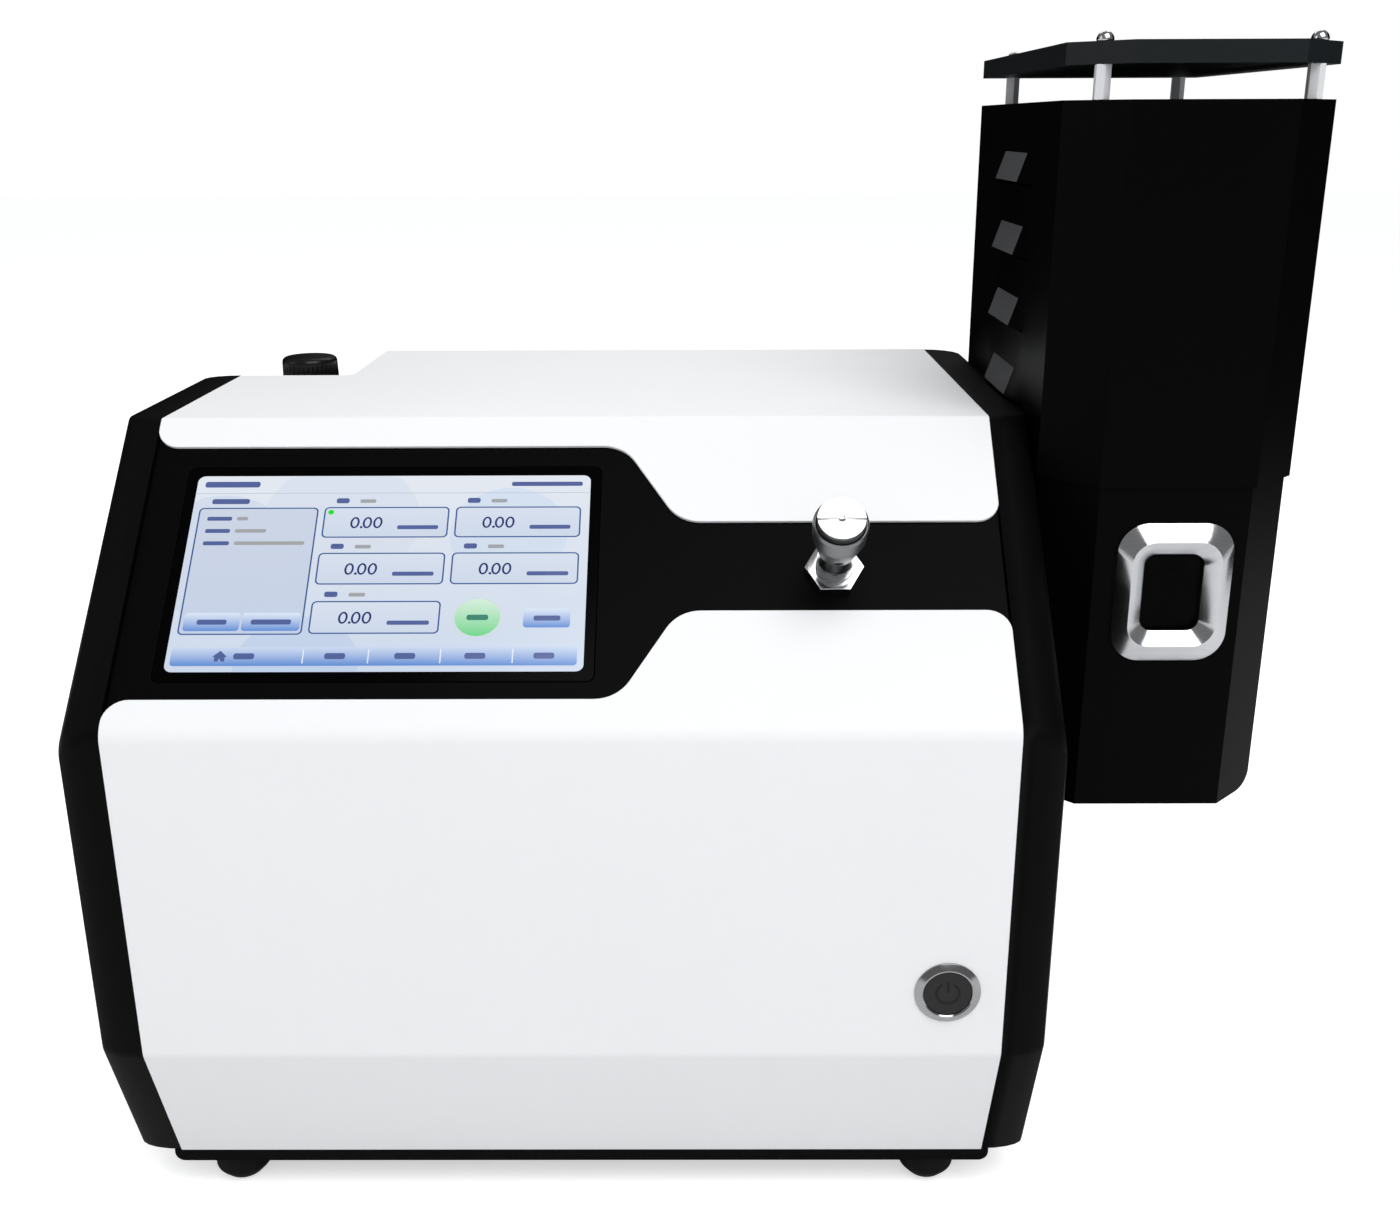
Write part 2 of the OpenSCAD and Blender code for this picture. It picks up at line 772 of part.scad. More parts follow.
module regulator_deck() {
    top = case_h - sheet_t - cover_gap;
    left = -half_w + 0.4;
    deck_end = case_d;
    color("#17181a") difference() {
        translate([left, bay_y - deck_t, deck_z - deck_t])
            cube([bay_x + deck_t - left, deck_end - bay_y + deck_t, top - deck_z + deck_t]);
        translate([left - over, bay_y, deck_z])
            cube([bay_x - left + over, deck_end - bay_y + over, case_h]);
        translate([regulator_x, regulator_y, deck_z - deck_t - over])
            cylinder(d = bonnet_neck_d + 2 * slack, h = deck_t + 2 * over);
        translate([bay_x - over, cover_rear_y - 0.2, deck_z - deck_t - over])
            cube([deck_t + 2 * over, rear_t + 2, case_h]);
    }
}

module case_screws() {
    head_t = 1.8;
    shank_l = 5;
    color("silver") for (p = rear_screw_places) rearward(p[0], case_d - rear_t - shank_l, p[1]) {
        cylinder(d = case_screw_d, h = shank_l + rear_t + head_t);
        translate([0, 0, shank_l + rear_t])
            cylinder(d1 = case_screw_head_d, d2 = case_screw_head_d - 1.6, h = head_t);
    }
}

module display_glass() {
    color("#4f7fb8") on_console(screen_x, screen_s)
        translate([0, 0, -console_depth - glass_t]) round_plate(glass_w, glass_h, glass_t, 2.8);
}

module display_module() {
    top = -console_depth - glass_t - glass_gap;
    color("silver") on_console(screen_x, screen_s)
        translate([0, 0, top - module_t]) round_plate(screen_w, screen_h, module_t, 1);
}

module display_bracket() {
    top = -console_depth - console_t - cover_gap;
    rim = 3;
    tray_t = 1.2;
    tray_depth = module_t + 1;
    color("gainsboro") on_console(screen_x, screen_s) translate([0, 0, top - tray_depth]) difference() {
        round_plate(glass_w + 2 * rim, glass_h + 2 * rim, tray_depth, 2);
        translate([0, 0, tray_t]) round_plate(glass_w + rim, glass_h + rim, tray_depth, 1);
        translate([0, 0, -over]) round_plate(screen_w / 2, screen_h / 2, tray_depth, 3);
    }
}

module display_board() {
    depth = console_depth + console_t + cover_gap + module_t + 6;
    chips = [[-30, 8], [0, -10], [30, 8]];
    color("seagreen") on_console(screen_x, screen_s) translate([0, 0, -depth]) {
        translate([-55, -30, 0]) cube([110, 60, board_t]);
        for (c = chips) translate([c[0] - 7, c[1] - 7, -1.8]) cube([14, 14, 2]);
        for (x = [-50, 50]) for (y = [-25, 25]) translate([x, y, 0]) ring(5, 2.6, depth - bracket_back);
    }
}

module fuel_valve_knob() {
    top_d = valve_knob_d - 1.4;
    shoulder = 3;
    taper_z = valve_knob_foot + 6;
    hub = valve_knob_foot + 0.4;
    color("silver") on_console(valve_x, valve_s) {
        difference() {
            translate([0, 0, valve_knob_foot]) rotate_extrude() polygon(rounded(
                [[0, 0], [valve_knob_foot_d / 2, 0], [valve_knob_foot_d / 2 + 1, taper_z - valve_knob_foot],
                 [valve_knob_d / 2, valve_knob_top - valve_knob_foot - shoulder - 9],
                 [valve_knob_d / 2, valve_knob_top - valve_knob_foot - shoulder],
                 [top_d / 2, valve_knob_top - valve_knob_foot], [0, valve_knob_top - valve_knob_foot]],
                [0, 0.6, 2, 2, 1.2, 0.8, 0]
            ));
            translate([0, 0, grub_z]) rotate([90, 0, 0]) cylinder(d = grub_d, h = valve_knob_d);
        }
        translate([0, 0, spindle_end_n]) cylinder(d = valve_stem_d, h = hub - spindle_end_n);
    }
}

module knob_grub_screw() {
    depth = 1.2;
    color("dimgray") on_console(valve_x, valve_s) translate([0, 0, grub_z]) rotate([90, 0, 0]) difference() {
        cylinder(d = grub_d, h = valve_knob_foot_d / 2);
        translate([0, 0, valve_knob_foot_d / 2 - depth]) hexagon(1.5, depth + over);
    }
}

module fuel_valve_nut() {
    seat = -console_depth;
    color("silver") on_console(valve_x, valve_s) translate([0, 0, seat]) difference() {
        intersection() {
            hexagon(valve_nut_af, valve_nut_t);
            rotate_extrude() polygon([
                [0, 0], [valve_nut_af / 2 + 0.6, 0], [valve_nut_af, 1.2], [valve_nut_af, valve_nut_t - 1.6],
                [valve_nut_af / 2 - 0.2, valve_nut_t], [0, valve_nut_t]
            ]);
        }
        translate([0, 0, -over]) cylinder(d = valve_collar_d + 0.1, h = valve_nut_t + 2 * over);
    }
}

module fuel_valve_body() {
    side_l = valve_body_d / 2 + port_l;
    color("goldenrod") on_console(valve_x, valve_s) difference() {
        union() {
            translate([0, 0, valve_top_n - valve_body_l]) cylinder(d = valve_body_d, h = valve_body_l);
            translate([0, 0, valve_top_n - over])
                cylinder(d = valve_collar_d, h = valve_collar_top - valve_top_n + over);
            translate([0, 0, valve_foot_n]) cylinder(r = port_r, h = port_l + over);
            translate([0, 0, valve_side_n]) rotate([0, 90, 0]) cylinder(r = port_r, h = side_l);
        }
        translate([0, 0, valve_seat_n])
            cylinder(d = valve_stem_d + 2 * running, h = valve_collar_top - valve_seat_n + over);
        translate([0, 0, valve_foot_n - over]) cylinder(r = port_r * 0.6, h = port_l + 8);
        translate([0, 0, valve_side_n]) rotate([0, 90, 0]) cylinder(r = port_r * 0.6, h = side_l + over);
    }
}

module fuel_valve_needle() {
    tip_l = 4;
    color("lightsteelblue") on_console(valve_x, valve_s) translate([0, 0, valve_seat_n]) {
        translate([0, 0, 0.2]) cylinder(r1 = port_r * 0.6, r2 = valve_stem_d / 2, h = tip_l);
        translate([0, 0, tip_l])
            cylinder(d = valve_stem_d, h = spindle_end_n - running - valve_seat_n - tip_l);
    }
}

module power_button_housing() {
    head_top_d = button_head_d - 4.4;
    cap_bore = button_cap_d + 2 * running;
    color("#5a5c60") rearward(button_x, 0, button_z) difference() {
        union() {
            translate([0, 0, -button_head_t]) rotate_extrude() polygon([
                [0, 0], [head_top_d / 2, 0], [button_head_d / 2, button_head_t - 0.5],
                [button_head_d / 2, button_head_t], [0, button_head_t]
            ]);
            cylinder(d = button_body_d, h = button_body_l);
        }
        translate([0, 0, -button_head_t - over])
            cylinder(d = cap_bore, h = cap_l + button_head_t + button_travel + 0.2 + over);
        cylinder(d = button_spring_d + 1, h = button_body_l - button_floor);
        cylinder(d = button_stem_d + 2 * running, h = button_body_l + over);
    }
}

module power_button_cap() {
    groove = 0.4;
    symbol_r = 4.3;
    line_w = 1;
    face = -button_head_t + cap_sink;
    color("#3b3c3f") rearward(button_x, 0, button_z) {
        difference() {
            translate([0, 0, face]) cylinder(d = button_cap_d, h = cap_l - face);
            translate([0, 0, face - over]) linear_extrude(groove + over) {
                difference() {
                    circle(r = symbol_r + line_w / 2);
                    circle(r = symbol_r - line_w / 2);
                    translate([-line_w * 1.5, -symbol_r - line_w]) square([line_w * 3, symbol_r]);
                }
                translate([-line_w / 2, -symbol_r - line_w]) square([line_w, symbol_r]);
            }
        }
        cylinder(d = button_stem_d, h = button_body_l + 0.5);
    }
}

module power_button_nut() {
    nut_t = 3;
    color("silver") rearward(button_x, sheet_t + cover_gap, button_z) difference() {
        hexagon(26, nut_t);
        translate([0, 0, -over]) cylinder(d = button_body_d + 0.1, h = nut_t + 2 * over);
    }
}

module power_button_spring() {
    foot = cap_l + 0.1;
    color("silver") rearward(button_x, 0, button_z) translate([0, 0, foot])
        ring(button_spring_d, button_spring_d - 2, button_body_l - button_floor - 0.1 - foot);
}

module power_switch_block() {
    color("#202124") rearward(button_x, button_body_l + 0.1, button_z) difference() {
        union() {
            translate([-10, -9, 0]) cube([20, 18, 16]);
            for (x = [-6, 0, 6]) translate([x - 1.4, -0.4, 15]) cube([2.8, 0.8, 7]);
        }
        translate([0, 0, -over]) cylinder(d = button_stem_d + 2, h = button_travel + 1 + over);
    }
}

module regulator_body() {
    w = regulator_body_w;
    h = regulator_body_h;
    color("silver") translate([regulator_x, regulator_y, bonnet_foot - h]) difference() {
        union() {
            translate([-w / 2, -w / 2, 0]) cube([w, w, h]);
            translate([0, 0, h / 2]) rotate([90, 0, 0]) cylinder(r = port_r, h = w / 2 + port_l);
        }
        translate([0, 0, h - diaphragm_recess]) cylinder(d = spring_room_d + 4, h = diaphragm_recess + over);
    }
}

module regulator_bonnet() {
    shoulder = deck_z - deck_t - 0.1;
    roof = screw_foot + 8;
    color("#2a2b2d") translate([regulator_x, regulator_y, 0]) difference() {
        union() {
            translate([0, 0, bonnet_foot]) cylinder(d = bonnet_d, h = shoulder - bonnet_foot);
            translate([0, 0, bonnet_foot]) cylinder(d = bonnet_neck_d, h = neck_top - bonnet_foot);
        }
        translate([0, 0, bonnet_foot - over]) cylinder(d = spring_room_d, h = roof - bonnet_foot + over);
        translate([0, 0, bonnet_foot]) cylinder(d = screw_d + 2 * running, h = neck_top - bonnet_foot + over);
    }
}

module regulator_nut() {
    nut_t = 4;
    color("#2a2b2d") translate([regulator_x, regulator_y, deck_z]) ring(30, bonnet_neck_d + 0.1, nut_t);
}

module regulator_screw() {
    head_room = 5 + knob_lift;
    color("silver") translate([regulator_x, regulator_y, screw_foot]) {
        cylinder(d = screw_d, h = neck_top + 0.5 - screw_foot);
        hexagon(drive_af, regulator_knob_top - head_room - screw_foot);
    }
}

module regulator_spring_seat() {
    color("silver") translate([regulator_x, regulator_y, screw_foot - 0.1 - seat_t])
        cylinder(d = spring_room_d - 1, h = seat_t);
}

module regulator_spring() {
    foot = bonnet_foot - diaphragm_recess + 0.1;
    color("silver") translate([regulator_x, regulator_y, foot])
        ring(spring_room_d - 4, spring_room_d - 8, screw_foot - 0.2 - seat_t - foot);
}

module regulator_knob() {
    foot = deck_z + 6;
    ribs = 36;
    rib_d = 1;
    h = regulator_knob_top - foot;
    dome = 1.5;
    skirt = 10;
    lid_t = 2;
    color("#1b1c1e") translate([regulator_x, regulator_y, foot]) difference() {
        rotate_extrude() polygon(rounded(
            [[0, 0], [regulator_knob_d / 2, 0], [regulator_knob_top_d / 2, h - dome], [0, h]],
            [0, 0.8, 2, 0]
        ));
        translate([0, 0, -over]) cylinder(d = bonnet_neck_d + 1.4, h = skirt + over);
        translate([0, 0, skirt - over]) hexagon(drive_af + 2 * running, h - skirt - lid_t);
        for (k = [0:ribs - 1]) rotate([0, 0, 360 * k / ribs])
            translate([regulator_knob_d / 2 + rib_d * 0.25, 0, 3])
                rotate([0, -2, 0]) cylinder(d = rib_d, h = h - 8, $fn = 14);
    }
}

module air_inlet_fitting() {
    inlet_fitting(regulator_x);
}

module fuel_inlet_fitting() {
    inlet_fitting(fuel_inlet_x);
}

// A bulkhead fitting through the rear panel with a hose tail outside.
module inlet_fitting(x) {
    inside_l = fitting_l;
    flange_t = 4;
    color("goldenrod") rearward(x, cover_rear_y - inside_l, inlet_z) {
        difference() {
            union() {
                cylinder(r = thread_r, h = inside_l + rear_t + 0.1);
                translate([0, 0, inside_l + rear_t + 0.1]) hexagon(16, flange_t);
                translate([0, 0, inside_l - 4.1]) hexagon(16, 4);
            }
            translate([0, 0, -over]) cylinder(r = hose_r * 0.55, h = 60);
        }
        translate([0, 0, inside_l + rear_t + 0.1 + flange_t]) hose_tail(hose_r, hose_l - flange_t - 0.1);
    }
}

module fuel_solenoid_valve() {
    color("goldenrod") translate([fuel_inlet_x, solenoid_y, inlet_z]) difference() {
        union() {
            translate([-12, -12, -12]) cube([24, 24, 24]);
            rotate([90, 0, 0]) cylinder(r = port_r, h = solenoid_reach);
            rotate([-90, 0, 0]) cylinder(r = port_r, h = solenoid_reach);
            translate([0, 0, 11]) cylinder(d = 18, h = 6);
            translate([-16, -14, 16]) cube([32, 28, 30]);
        }
        translate([0, -solenoid_reach - over, 0]) rotate([-90, 0, 0])
            cylinder(r = port_r * 0.6, h = 2 * solenoid_reach + 2 * over);
    }
}

// The first points of a tube that leaves the port at p straight along v.
function out_of_port(p, v) = [p + tube_gap * v, p + tube_d / 2 * v, p + tube_d * v];

// A list from its last entry to its first.
function reversed(pts) = [for (i = [len(pts) - 1:-1:0]) pts[i]];

module fuel_tube() {
    down = [0, sin(console_angle), -cos(console_angle)];
    foot = console_point(valve_x, valve_s, valve_foot_n);
    side = console_point(valve_x + valve_body_d / 2 + port_l, valve_s, valve_side_n);
    mixer_side = [burner_x - mixer_d / 2, burner_y, fuel_hole[1]];
    before_valve = [fuel_inlet_x, solenoid_y - solenoid_reach, inlet_z];
    color("#d9b34c") {
        swept_tube([
            [fuel_inlet_x, cover_rear_y - fitting_l - tube_gap, inlet_z],
            [fuel_inlet_x, solenoid_y + solenoid_reach + tube_gap, inlet_z]
        ], tube_d);
        swept_tube(concat(
            out_of_port(before_valve, [0, -1, 0]),
            [before_valve + [8, -20, -6], (before_valve + foot) / 2 + [10, 0, -14], foot + 16 * down],
            reversed(out_of_port(foot, down))
        ), tube_d);
        swept_tube(concat(
            out_of_port(side, [1, 0, 0]),
            [
                [half_w - 16, fuel_hole[0] - 50, fuel_hole[1] + 30],
                [half_w - 6, fuel_hole[0] - 4, fuel_hole[1] + 3],
                [half_w + 4, fuel_hole[0], fuel_hole[1]], [tower_x + 6, fuel_hole[0], fuel_hole[1]],
                [tower_x + 14, fuel_hole[0] - 12, fuel_hole[1]]
            ],
            reversed(out_of_port(mixer_side, [-1, 0, 0]))
        ), tube_d);
    }
}

module air_tube() {
    inlet = [regulator_x, cover_rear_y - fitting_l, inlet_z];
    body_foot = [regulator_x, regulator_y, bonnet_foot - regulator_body_h];
    outlet = [regulator_x, regulator_y - regulator_body_w / 2 - port_l, regulator_port_z];
    nebulizer_side = [burner_x - nebulizer_d / 2, nebulizer_y, nebulizer_z];
    middle_y = solenoid_y - 60;
    color("#8fb6d8") {
        swept_tube(concat(
            out_of_port(inlet, [0, -1, 0]),
            [[regulator_x, regulator_y + tube_d, inlet_z + tube_d / 2]],
            reversed(out_of_port(body_foot, [0, 0, -1]))
        ), tube_d);
        swept_tube(concat(
            out_of_port(outlet, [0, -1, 0]),
            [
                outlet + [14, -16, 0], [regulator_x / 2, middle_y + 2, regulator_port_z - 20],
                [fuel_inlet_x, middle_y + 20, regulator_port_z - 8],
                [valve_x + 10, middle_y + 32, regulator_port_z - 13],
                [half_w - 14, air_hole[0] + 2, air_hole[1] + 4],
                [half_w + 4, air_hole[0], air_hole[1]], [tower_x + 8, air_hole[0], air_hole[1]],
                nebulizer_side + [-14, 0, 5]
            ],
            reversed(out_of_port(nebulizer_side, [-1, 0, 0]))
        ), tube_d);
    }
}

module mains_inlet() {
    depth = 28;
    pins = [[-7, 2], [7, 2], [0, -2.5]];
    color("#1c1d1f") rearward(mains_x, 0, mains_z) difference() {
        union() {
            translate([0, 0, case_d + 0.1]) round_plate(mains_w + 8, mains_h + 6, mains_flange_t, 3);
            translate([-mains_w / 2, -mains_h / 2, case_d - depth]) cube([mains_w, mains_h, depth + 0.2]);
        }
        translate([0, -socket_up, case_d - socket_l]) difference() {
            round_plate(socket_w, socket_h, 2 * socket_l, 3);
            for (p = pins) translate([p[0] - 1, p[1] - 2, -over]) cube([2, 4, pin_l + over]);
        }
        translate([0, drawer_shift, drawer_foot - 0.1]) linear_extrude(2 * drawer_l)
            square([drawer_w + 0.2, drawer_h + 0.2], center = true);
    }
}

module fuse_drawer() {
    lip = 1.4;
    body_l = drawer_l + 0.1;
    color("#2b2c2f") rearward(mains_x, 0, mains_z) translate([0, drawer_shift, drawer_foot]) difference() {
        union() {
            translate([-drawer_w / 2, -drawer_h / 2, 0]) cube([drawer_w, drawer_h, body_l]);
            translate([0, 0, body_l]) round_plate(drawer_w + 2, drawer_h + 2, lip, 1);
        }
        translate([-drawer_w / 2 + 2, -drawer_h / 2 - over, 3])
            cube([drawer_w - 4, drawer_h - 1, drawer_l - 8]);
    }
}

module power_supply() {
    w = 120;
    d = 70;
    h = 36;
    foot_l = 3;
    color("lightgray") translate([(half_w - w) / 2, foot_y + 22, foot_l]) {
        difference() {
            cube([w, d, h]);
            for (x = [w / 10:w / 15:w * 0.9]) translate([x, d * 0.28, h - 2]) cube([3, d * 0.43, 5]);
        }
        for (x = [w / 12, w * 11 / 12]) for (y = [d / 7, d * 6 / 7]) translate([x, y, -foot_l])
            cylinder(d = foot_l * 2, h = foot_l + over);
    }
}

module main_board() {
    w = 132;
    d = 102;
    foot_l = 8;
    part_z = foot_l + board_t - 0.2;
    color("seagreen") translate([-half_w / 2 + 3, foot_y + 26, 0]) {
        translate([-w / 2, 0, foot_l]) cube([w, d, board_t]);
        for (x = [-w / 2 + 6, w / 2 - 6]) for (y = [6, d - 6]) translate([x, y, 0])
            cylinder(d = 6, h = foot_l + over);
        for (x = [-2:2]) translate([x * w / 5.3 - 8, d * 0.75, part_z]) cube([16, 12, 9]);
        translate([-20, d / 4, part_z]) cube([28, 28, 3]);
        for (k = [0:3]) translate([20 + 12 * k, d / 3, part_z]) cylinder(d = 9, h = 14);
    }
}

// Puts children on the light path, drawn upwards, pointing from the case to the flame.
module light_path(x) {
    translate([x, burner_y, window_z]) rotate([0, 90, 0]) children();
}

module optics_housing() {
    tube_end = tower_x + housing_inset + housing_t - optics_x1;
    front_room = 12;
    flange_t = 3;
    seat_end = lens_x + lens_edge + lens_sag;
    color("#242528") difference() {
        union() {
            light_path(optics_x0) linear_extrude(optics_x1 - optics_x0) square(optics_size, center = true);
            light_path(optics_x1 - over) cylinder(d = light_tube_d, h = tube_end + over);
            light_path(half_w - flange_t) cylinder(d = light_tube_d + 20, h = flange_t - 0.1);
        }
        light_path(optics_x1 - front_room)
            cylinder(d = lens_d + 2 * lens_gap, h = seat_end - optics_x1 + front_room + over);
        light_path(seat_end) cylinder(d = light_tube_d - 2 * light_tube_wall, h = 2 * tube_end);
        for (p = filter_places) light_path(optics_x0 - over) translate([p[0], p[1], 0]) {
            cylinder(d = filter_d + 0.2, h = optics_x1 - optics_x0);
        }
    }
}

module collimating_lens() {
    r = (pow(lens_d / 2, 2) + lens_sag * lens_sag) / (2 * lens_sag);
    color("lightcyan") light_path(lens_x) intersection() {
        cylinder(d = lens_d, h = lens_edge + lens_sag);
        translate([0, 0, lens_edge + lens_sag - r]) sphere(r = r, $fn = 96);
    }
}

module colour_filters() {
    tints = ["orange", "crimson", "darkred", "gold", "yellowgreen"];
    for (i = [0:len(filter_places) - 1]) color(tints[i % len(tints)])
        light_path(optics_x0 + 26) translate([filter_places[i][0], filter_places[i][1], 0])
            cylinder(d = filter_d, h = 5);
}

module photodetectors() {
    color("silver") for (p = filter_places) light_path(optics_x0 + 0.2) translate([p[0], p[1], 0]) {
        cylinder(d = detector_d, h = 5);
        cylinder(d = detector_d + 1.4, h = 1);
        for (a = [0, 120, 240]) rotate([0, 0, a]) translate([lead_r, 0, -4])
            cylinder(d = 0.5, h = 5, $fn = 16);
    }
}

module amplifier_board() {
    post = optics_size / 2 - 5;
    color("seagreen") difference() {
        union() {
            light_path(optics_x0 - 3 - board_t) linear_extrude(board_t)
                square(optics_size - 2, center = true);
            for (y = [-post, post]) for (z = [-post, post]) light_path(optics_x0 - 3.1) translate([z, y, 0])
                cylinder(d = 5, h = 3);
            for (p = [[-post, 0], [post, 0], [0, post]]) light_path(optics_x0 - board_t - 4.9)
                translate([p[0] - 4, p[1] - 3, 0]) cube([8, 6, 2]);
        }
        for (p = filter_places) for (a = [0, 120, 240]) light_path(optics_x0 - 10)
            translate([p[0], p[1], 0]) rotate([0, 0, a]) translate([lead_r, 0, 0])
                cylinder(d = 0.9, h = 8, $fn = 16);
    }
}

// The burner housing's outer or inner form: the tower's outline with its lower side corners rounded.
module housing_form(step, z0, z1, r) {
    intersection() {
        translate([0, 0, z0]) linear_extrude(z1 - z0) polygon(tower_outline(step));
        translate([0, tower_rear + over, 0]) rotate([90, 0, 0]) linear_extrude(tower_d + 2 * over)
            polygon(rounded(
                [[tower_x + step, z0], [tower_x + step, z1], [tower_end - step, z1], [tower_end - step, z0]],
                [r, 0, 0, r]
            ));
    }
}

// The plate between the right side panel and the burner housing that carries the tower.
module tower_bracket() {
    x0 = outer_x + cover_gap;
    x1 = tower_x + housing_inset - cover_gap;
    low = tower_z + 10;
    high = shell_z - 5;
    front = tower_y + 35;
    rear = tower_rear - 35;
    color("#2b2c2f") difference() {
        across(x0, x1) translate([(front + rear) / 2, (low + high) / 2])
            round_rect(rear - front, high - low, 8);
        light_path(x0 - over) cylinder(d = light_tube_d + 2 * slack, h = 3 * over + x1 - x0);
        for (hole = tube_holes) translate([x0 - over, hole[0], hole[1]]) rotate([0, 90, 0])
            cylinder(d = grommet_d, h = 3 * over + x1 - x0);
    }
}

module burner_housing() {
    front = tower_y + housing_inset;
    side_wall = tower_x + housing_inset;
    hole_w = window_w + 3;
    color("#101113") difference() {
        housing_form(housing_inset, tower_z, housing_top, tower_fold_r);
        housing_form(
            housing_inset + housing_t, tower_z + housing_t, housing_top + over, tower_fold_r - housing_t
        );
        rearward(window_x, front - over, window_z) linear_extrude(housing_t + 2 * over)
            round_rect(hole_w, window_h + 3, 6);
        translate([side_wall - over, burner_y, window_z]) rotate([0, 90, 0])
            cylinder(d = light_tube_d + 2 * slack, h = housing_t + 2 * over);
        for (hole = tube_holes) translate([side_wall - over, hole[0], hole[1]]) rotate([0, 90, 0])
            cylinder(d = grommet_d, h = housing_t + 2 * over);
        for (p = nipple_places) translate([burner_x, p[0], tower_z - over])
            cylinder(r = p[1] + slack, h = housing_t + 2 * over);
        rearward(burner_x, tower_rear - housing_inset - housing_t - over, igniter_z)
            cylinder(d = igniter_sleeve_d + 2 * slack, h = housing_t + 2 * over);
    }
}

module window_bezel() {
    front = tower_y + housing_inset;
    slice = 0.01;
    ridge = 5.4;
    crest = 0.3;
    foot_t = 1.2;
    throat = 0.6;
    outer_r = 12;
    inner_r = 6;
    ridge_r = inner_r + ridge / 2;
    ridge_w = window_w + 2 * ridge;
    ridge_h = window_h + 2 * ridge;
    neck = 1.4;
    color("silver") rearward(window_x, front, window_z) difference() {
        union() {
            hull() {
                translate([0, 0, -foot_t]) round_plate(bezel_w, bezel_h, foot_t, outer_r);
                translate([0, 0, -bezel_t])
                    round_plate(ridge_w + 2 * crest, ridge_h + 2 * crest, slice, ridge_r + crest);
            }
            translate([0, 0, -slice])
                round_plate(window_w + 2 * neck, window_h + 2 * neck, housing_t + slice, inner_r);
        }
        translate([0, 0, -bezel_t - over]) round_plate(window_w, window_h, 20, inner_r);
        hull() {
            translate([0, 0, -bezel_t - slice]) round_plate(ridge_w, ridge_h, slice, ridge_r);
            translate([0, 0, -throat]) round_plate(window_w, window_h, slice, inner_r);
        }
    }
}

module window_glass() {
    front = tower_y + housing_inset + housing_t + 0.1;
    rim = 5;
    color("#9fb4bd") rearward(window_x, front, window_z)
        round_plate(window_w + 2 * rim, window_h + 2 * rim, window_t, 4);
}

module burner_head() {
    foot = flame_seat_z + flame_seat_t + 0.2;
    head_h = 9;
    lid_t = 4;
    plenum_h = 3;
    ports = [for (r = [5, 10]) for (a = [0:360 / (r * 1.2):359]) [r, a]];
    color("darkgoldenrod") translate([burner_x, burner_y, 0]) difference() {
        union() {
            translate([0, 0, burner_top - head_h]) cylinder(d = burner_d, h = head_h);
            translate([0, 0, foot]) cylinder(d = neck_d + 6, h = burner_top - head_h - foot + over);
        }
        translate([0, 0, foot - over]) cylinder(d = neck_d + 0.2, h = neck_l + over);
        translate([0, 0, foot]) cylinder(d = neck_d - 5, h = burner_top - lid_t - foot);
        translate([0, 0, burner_top - lid_t - plenum_h]) cylinder(d = burner_d - 6, h = plenum_h);
        for (p = ports) rotate([0, 0, p[1]]) translate([p[0], 0, burner_top - lid_t - over])
            cylinder(d = 1.8, h = lid_t + 2 * over, $fn = 16);
    }
}

// A nipple under the tower: its hose tail, and the slimmer neck that passes the tower's floor up to top.
module nipple(y, r, top) {
    translate([burner_x, y, tower_z - nipple_l]) cylinder(r = r, h = nipple_top - tower_z + nipple_l);
    translate([burner_x, y, nipple_top - over]) cylinder(r = r - nipple_step, h = top - nipple_top + over);
}

module mixing_chamber() {
    foot = tower_z + housing_t + 1;
    plate_d = flame_glass_d + 6;
    color("#e8e6df") difference() {
        union() {
            translate([burner_x, burner_y, foot]) cylinder(d = mixer_d, h = chamber_top - foot);
            translate([burner_x, burner_y, chamber_top - over])
                cylinder(d = neck_d + 8, h = flame_seat_z - chamber_top + over);
            translate([burner_x, burner_y, flame_seat_z]) cylinder(d = plate_d, h = flame_seat_t);
            translate([burner_x, burner_y, flame_seat_z + flame_seat_t - over])
                cylinder(d = neck_d, h = neck_l + over);
            nipple(burner_y, drain_r, foot + over);
        }
        translate([burner_x, burner_y, foot + mixer_wall])
            cylinder(d = mixer_d - 2 * mixer_wall, h = chamber_top - foot - 2 * mixer_wall);
        translate([burner_x, burner_y, chamber_top - mixer_wall - over]) cylinder(d = neck_d - 5, h = 40);
        translate([burner_x, burner_y, tower_z - nipple_l - over])
            cylinder(r = drain_r * 0.55, h = nipple_l + 20);
        rearward(burner_x, burner_y, nebulizer_z) cylinder(d = jet_d + 0.2, h = mixer_d);
        translate([burner_x - mixer_d / 2 - over, burner_y, fuel_hole[1]]) rotate([0, 90, 0])
            cylinder(d = 3, h = 8);
    }
}

module nebulizer() {
    wall_y = burner_y + mixer_d / 2;
    color("ivory") difference() {
        union() {
            rearward(burner_x, wall_y - 6, nebulizer_z) cylinder(d = jet_d, h = 8);
            rearward(burner_x, wall_y + 0.1, nebulizer_z)
                cylinder(d = nebulizer_d, h = nebulizer_y - wall_y + 6);
            nipple(nebulizer_y, sample_r, nebulizer_z);
        }
        rearward(burner_x, wall_y - 6 - over, nebulizer_z) cylinder(d = 2, h = nebulizer_y - wall_y + 7);
        translate([burner_x, nebulizer_y, tower_z - nipple_l - over])
            cylinder(r = sample_r * 0.4, h = nebulizer_z - tower_z + nipple_l);
    }
}

module igniter_electrode() {
    back = tower_rear - housing_inset + 4;
    tip_y = burner_y + burner_d / 2 + 2;
    glass_y = burner_y + flame_glass_d / 2;
    color("white") {
        rearward(burner_x, glass_y + 4, igniter_z) cylinder(d = igniter_sleeve_d, h = back - glass_y - 4);
        rearward(burner_x, tip_y, igniter_z) cylinder(d = 2, h = back - tip_y - 2);
    }
}

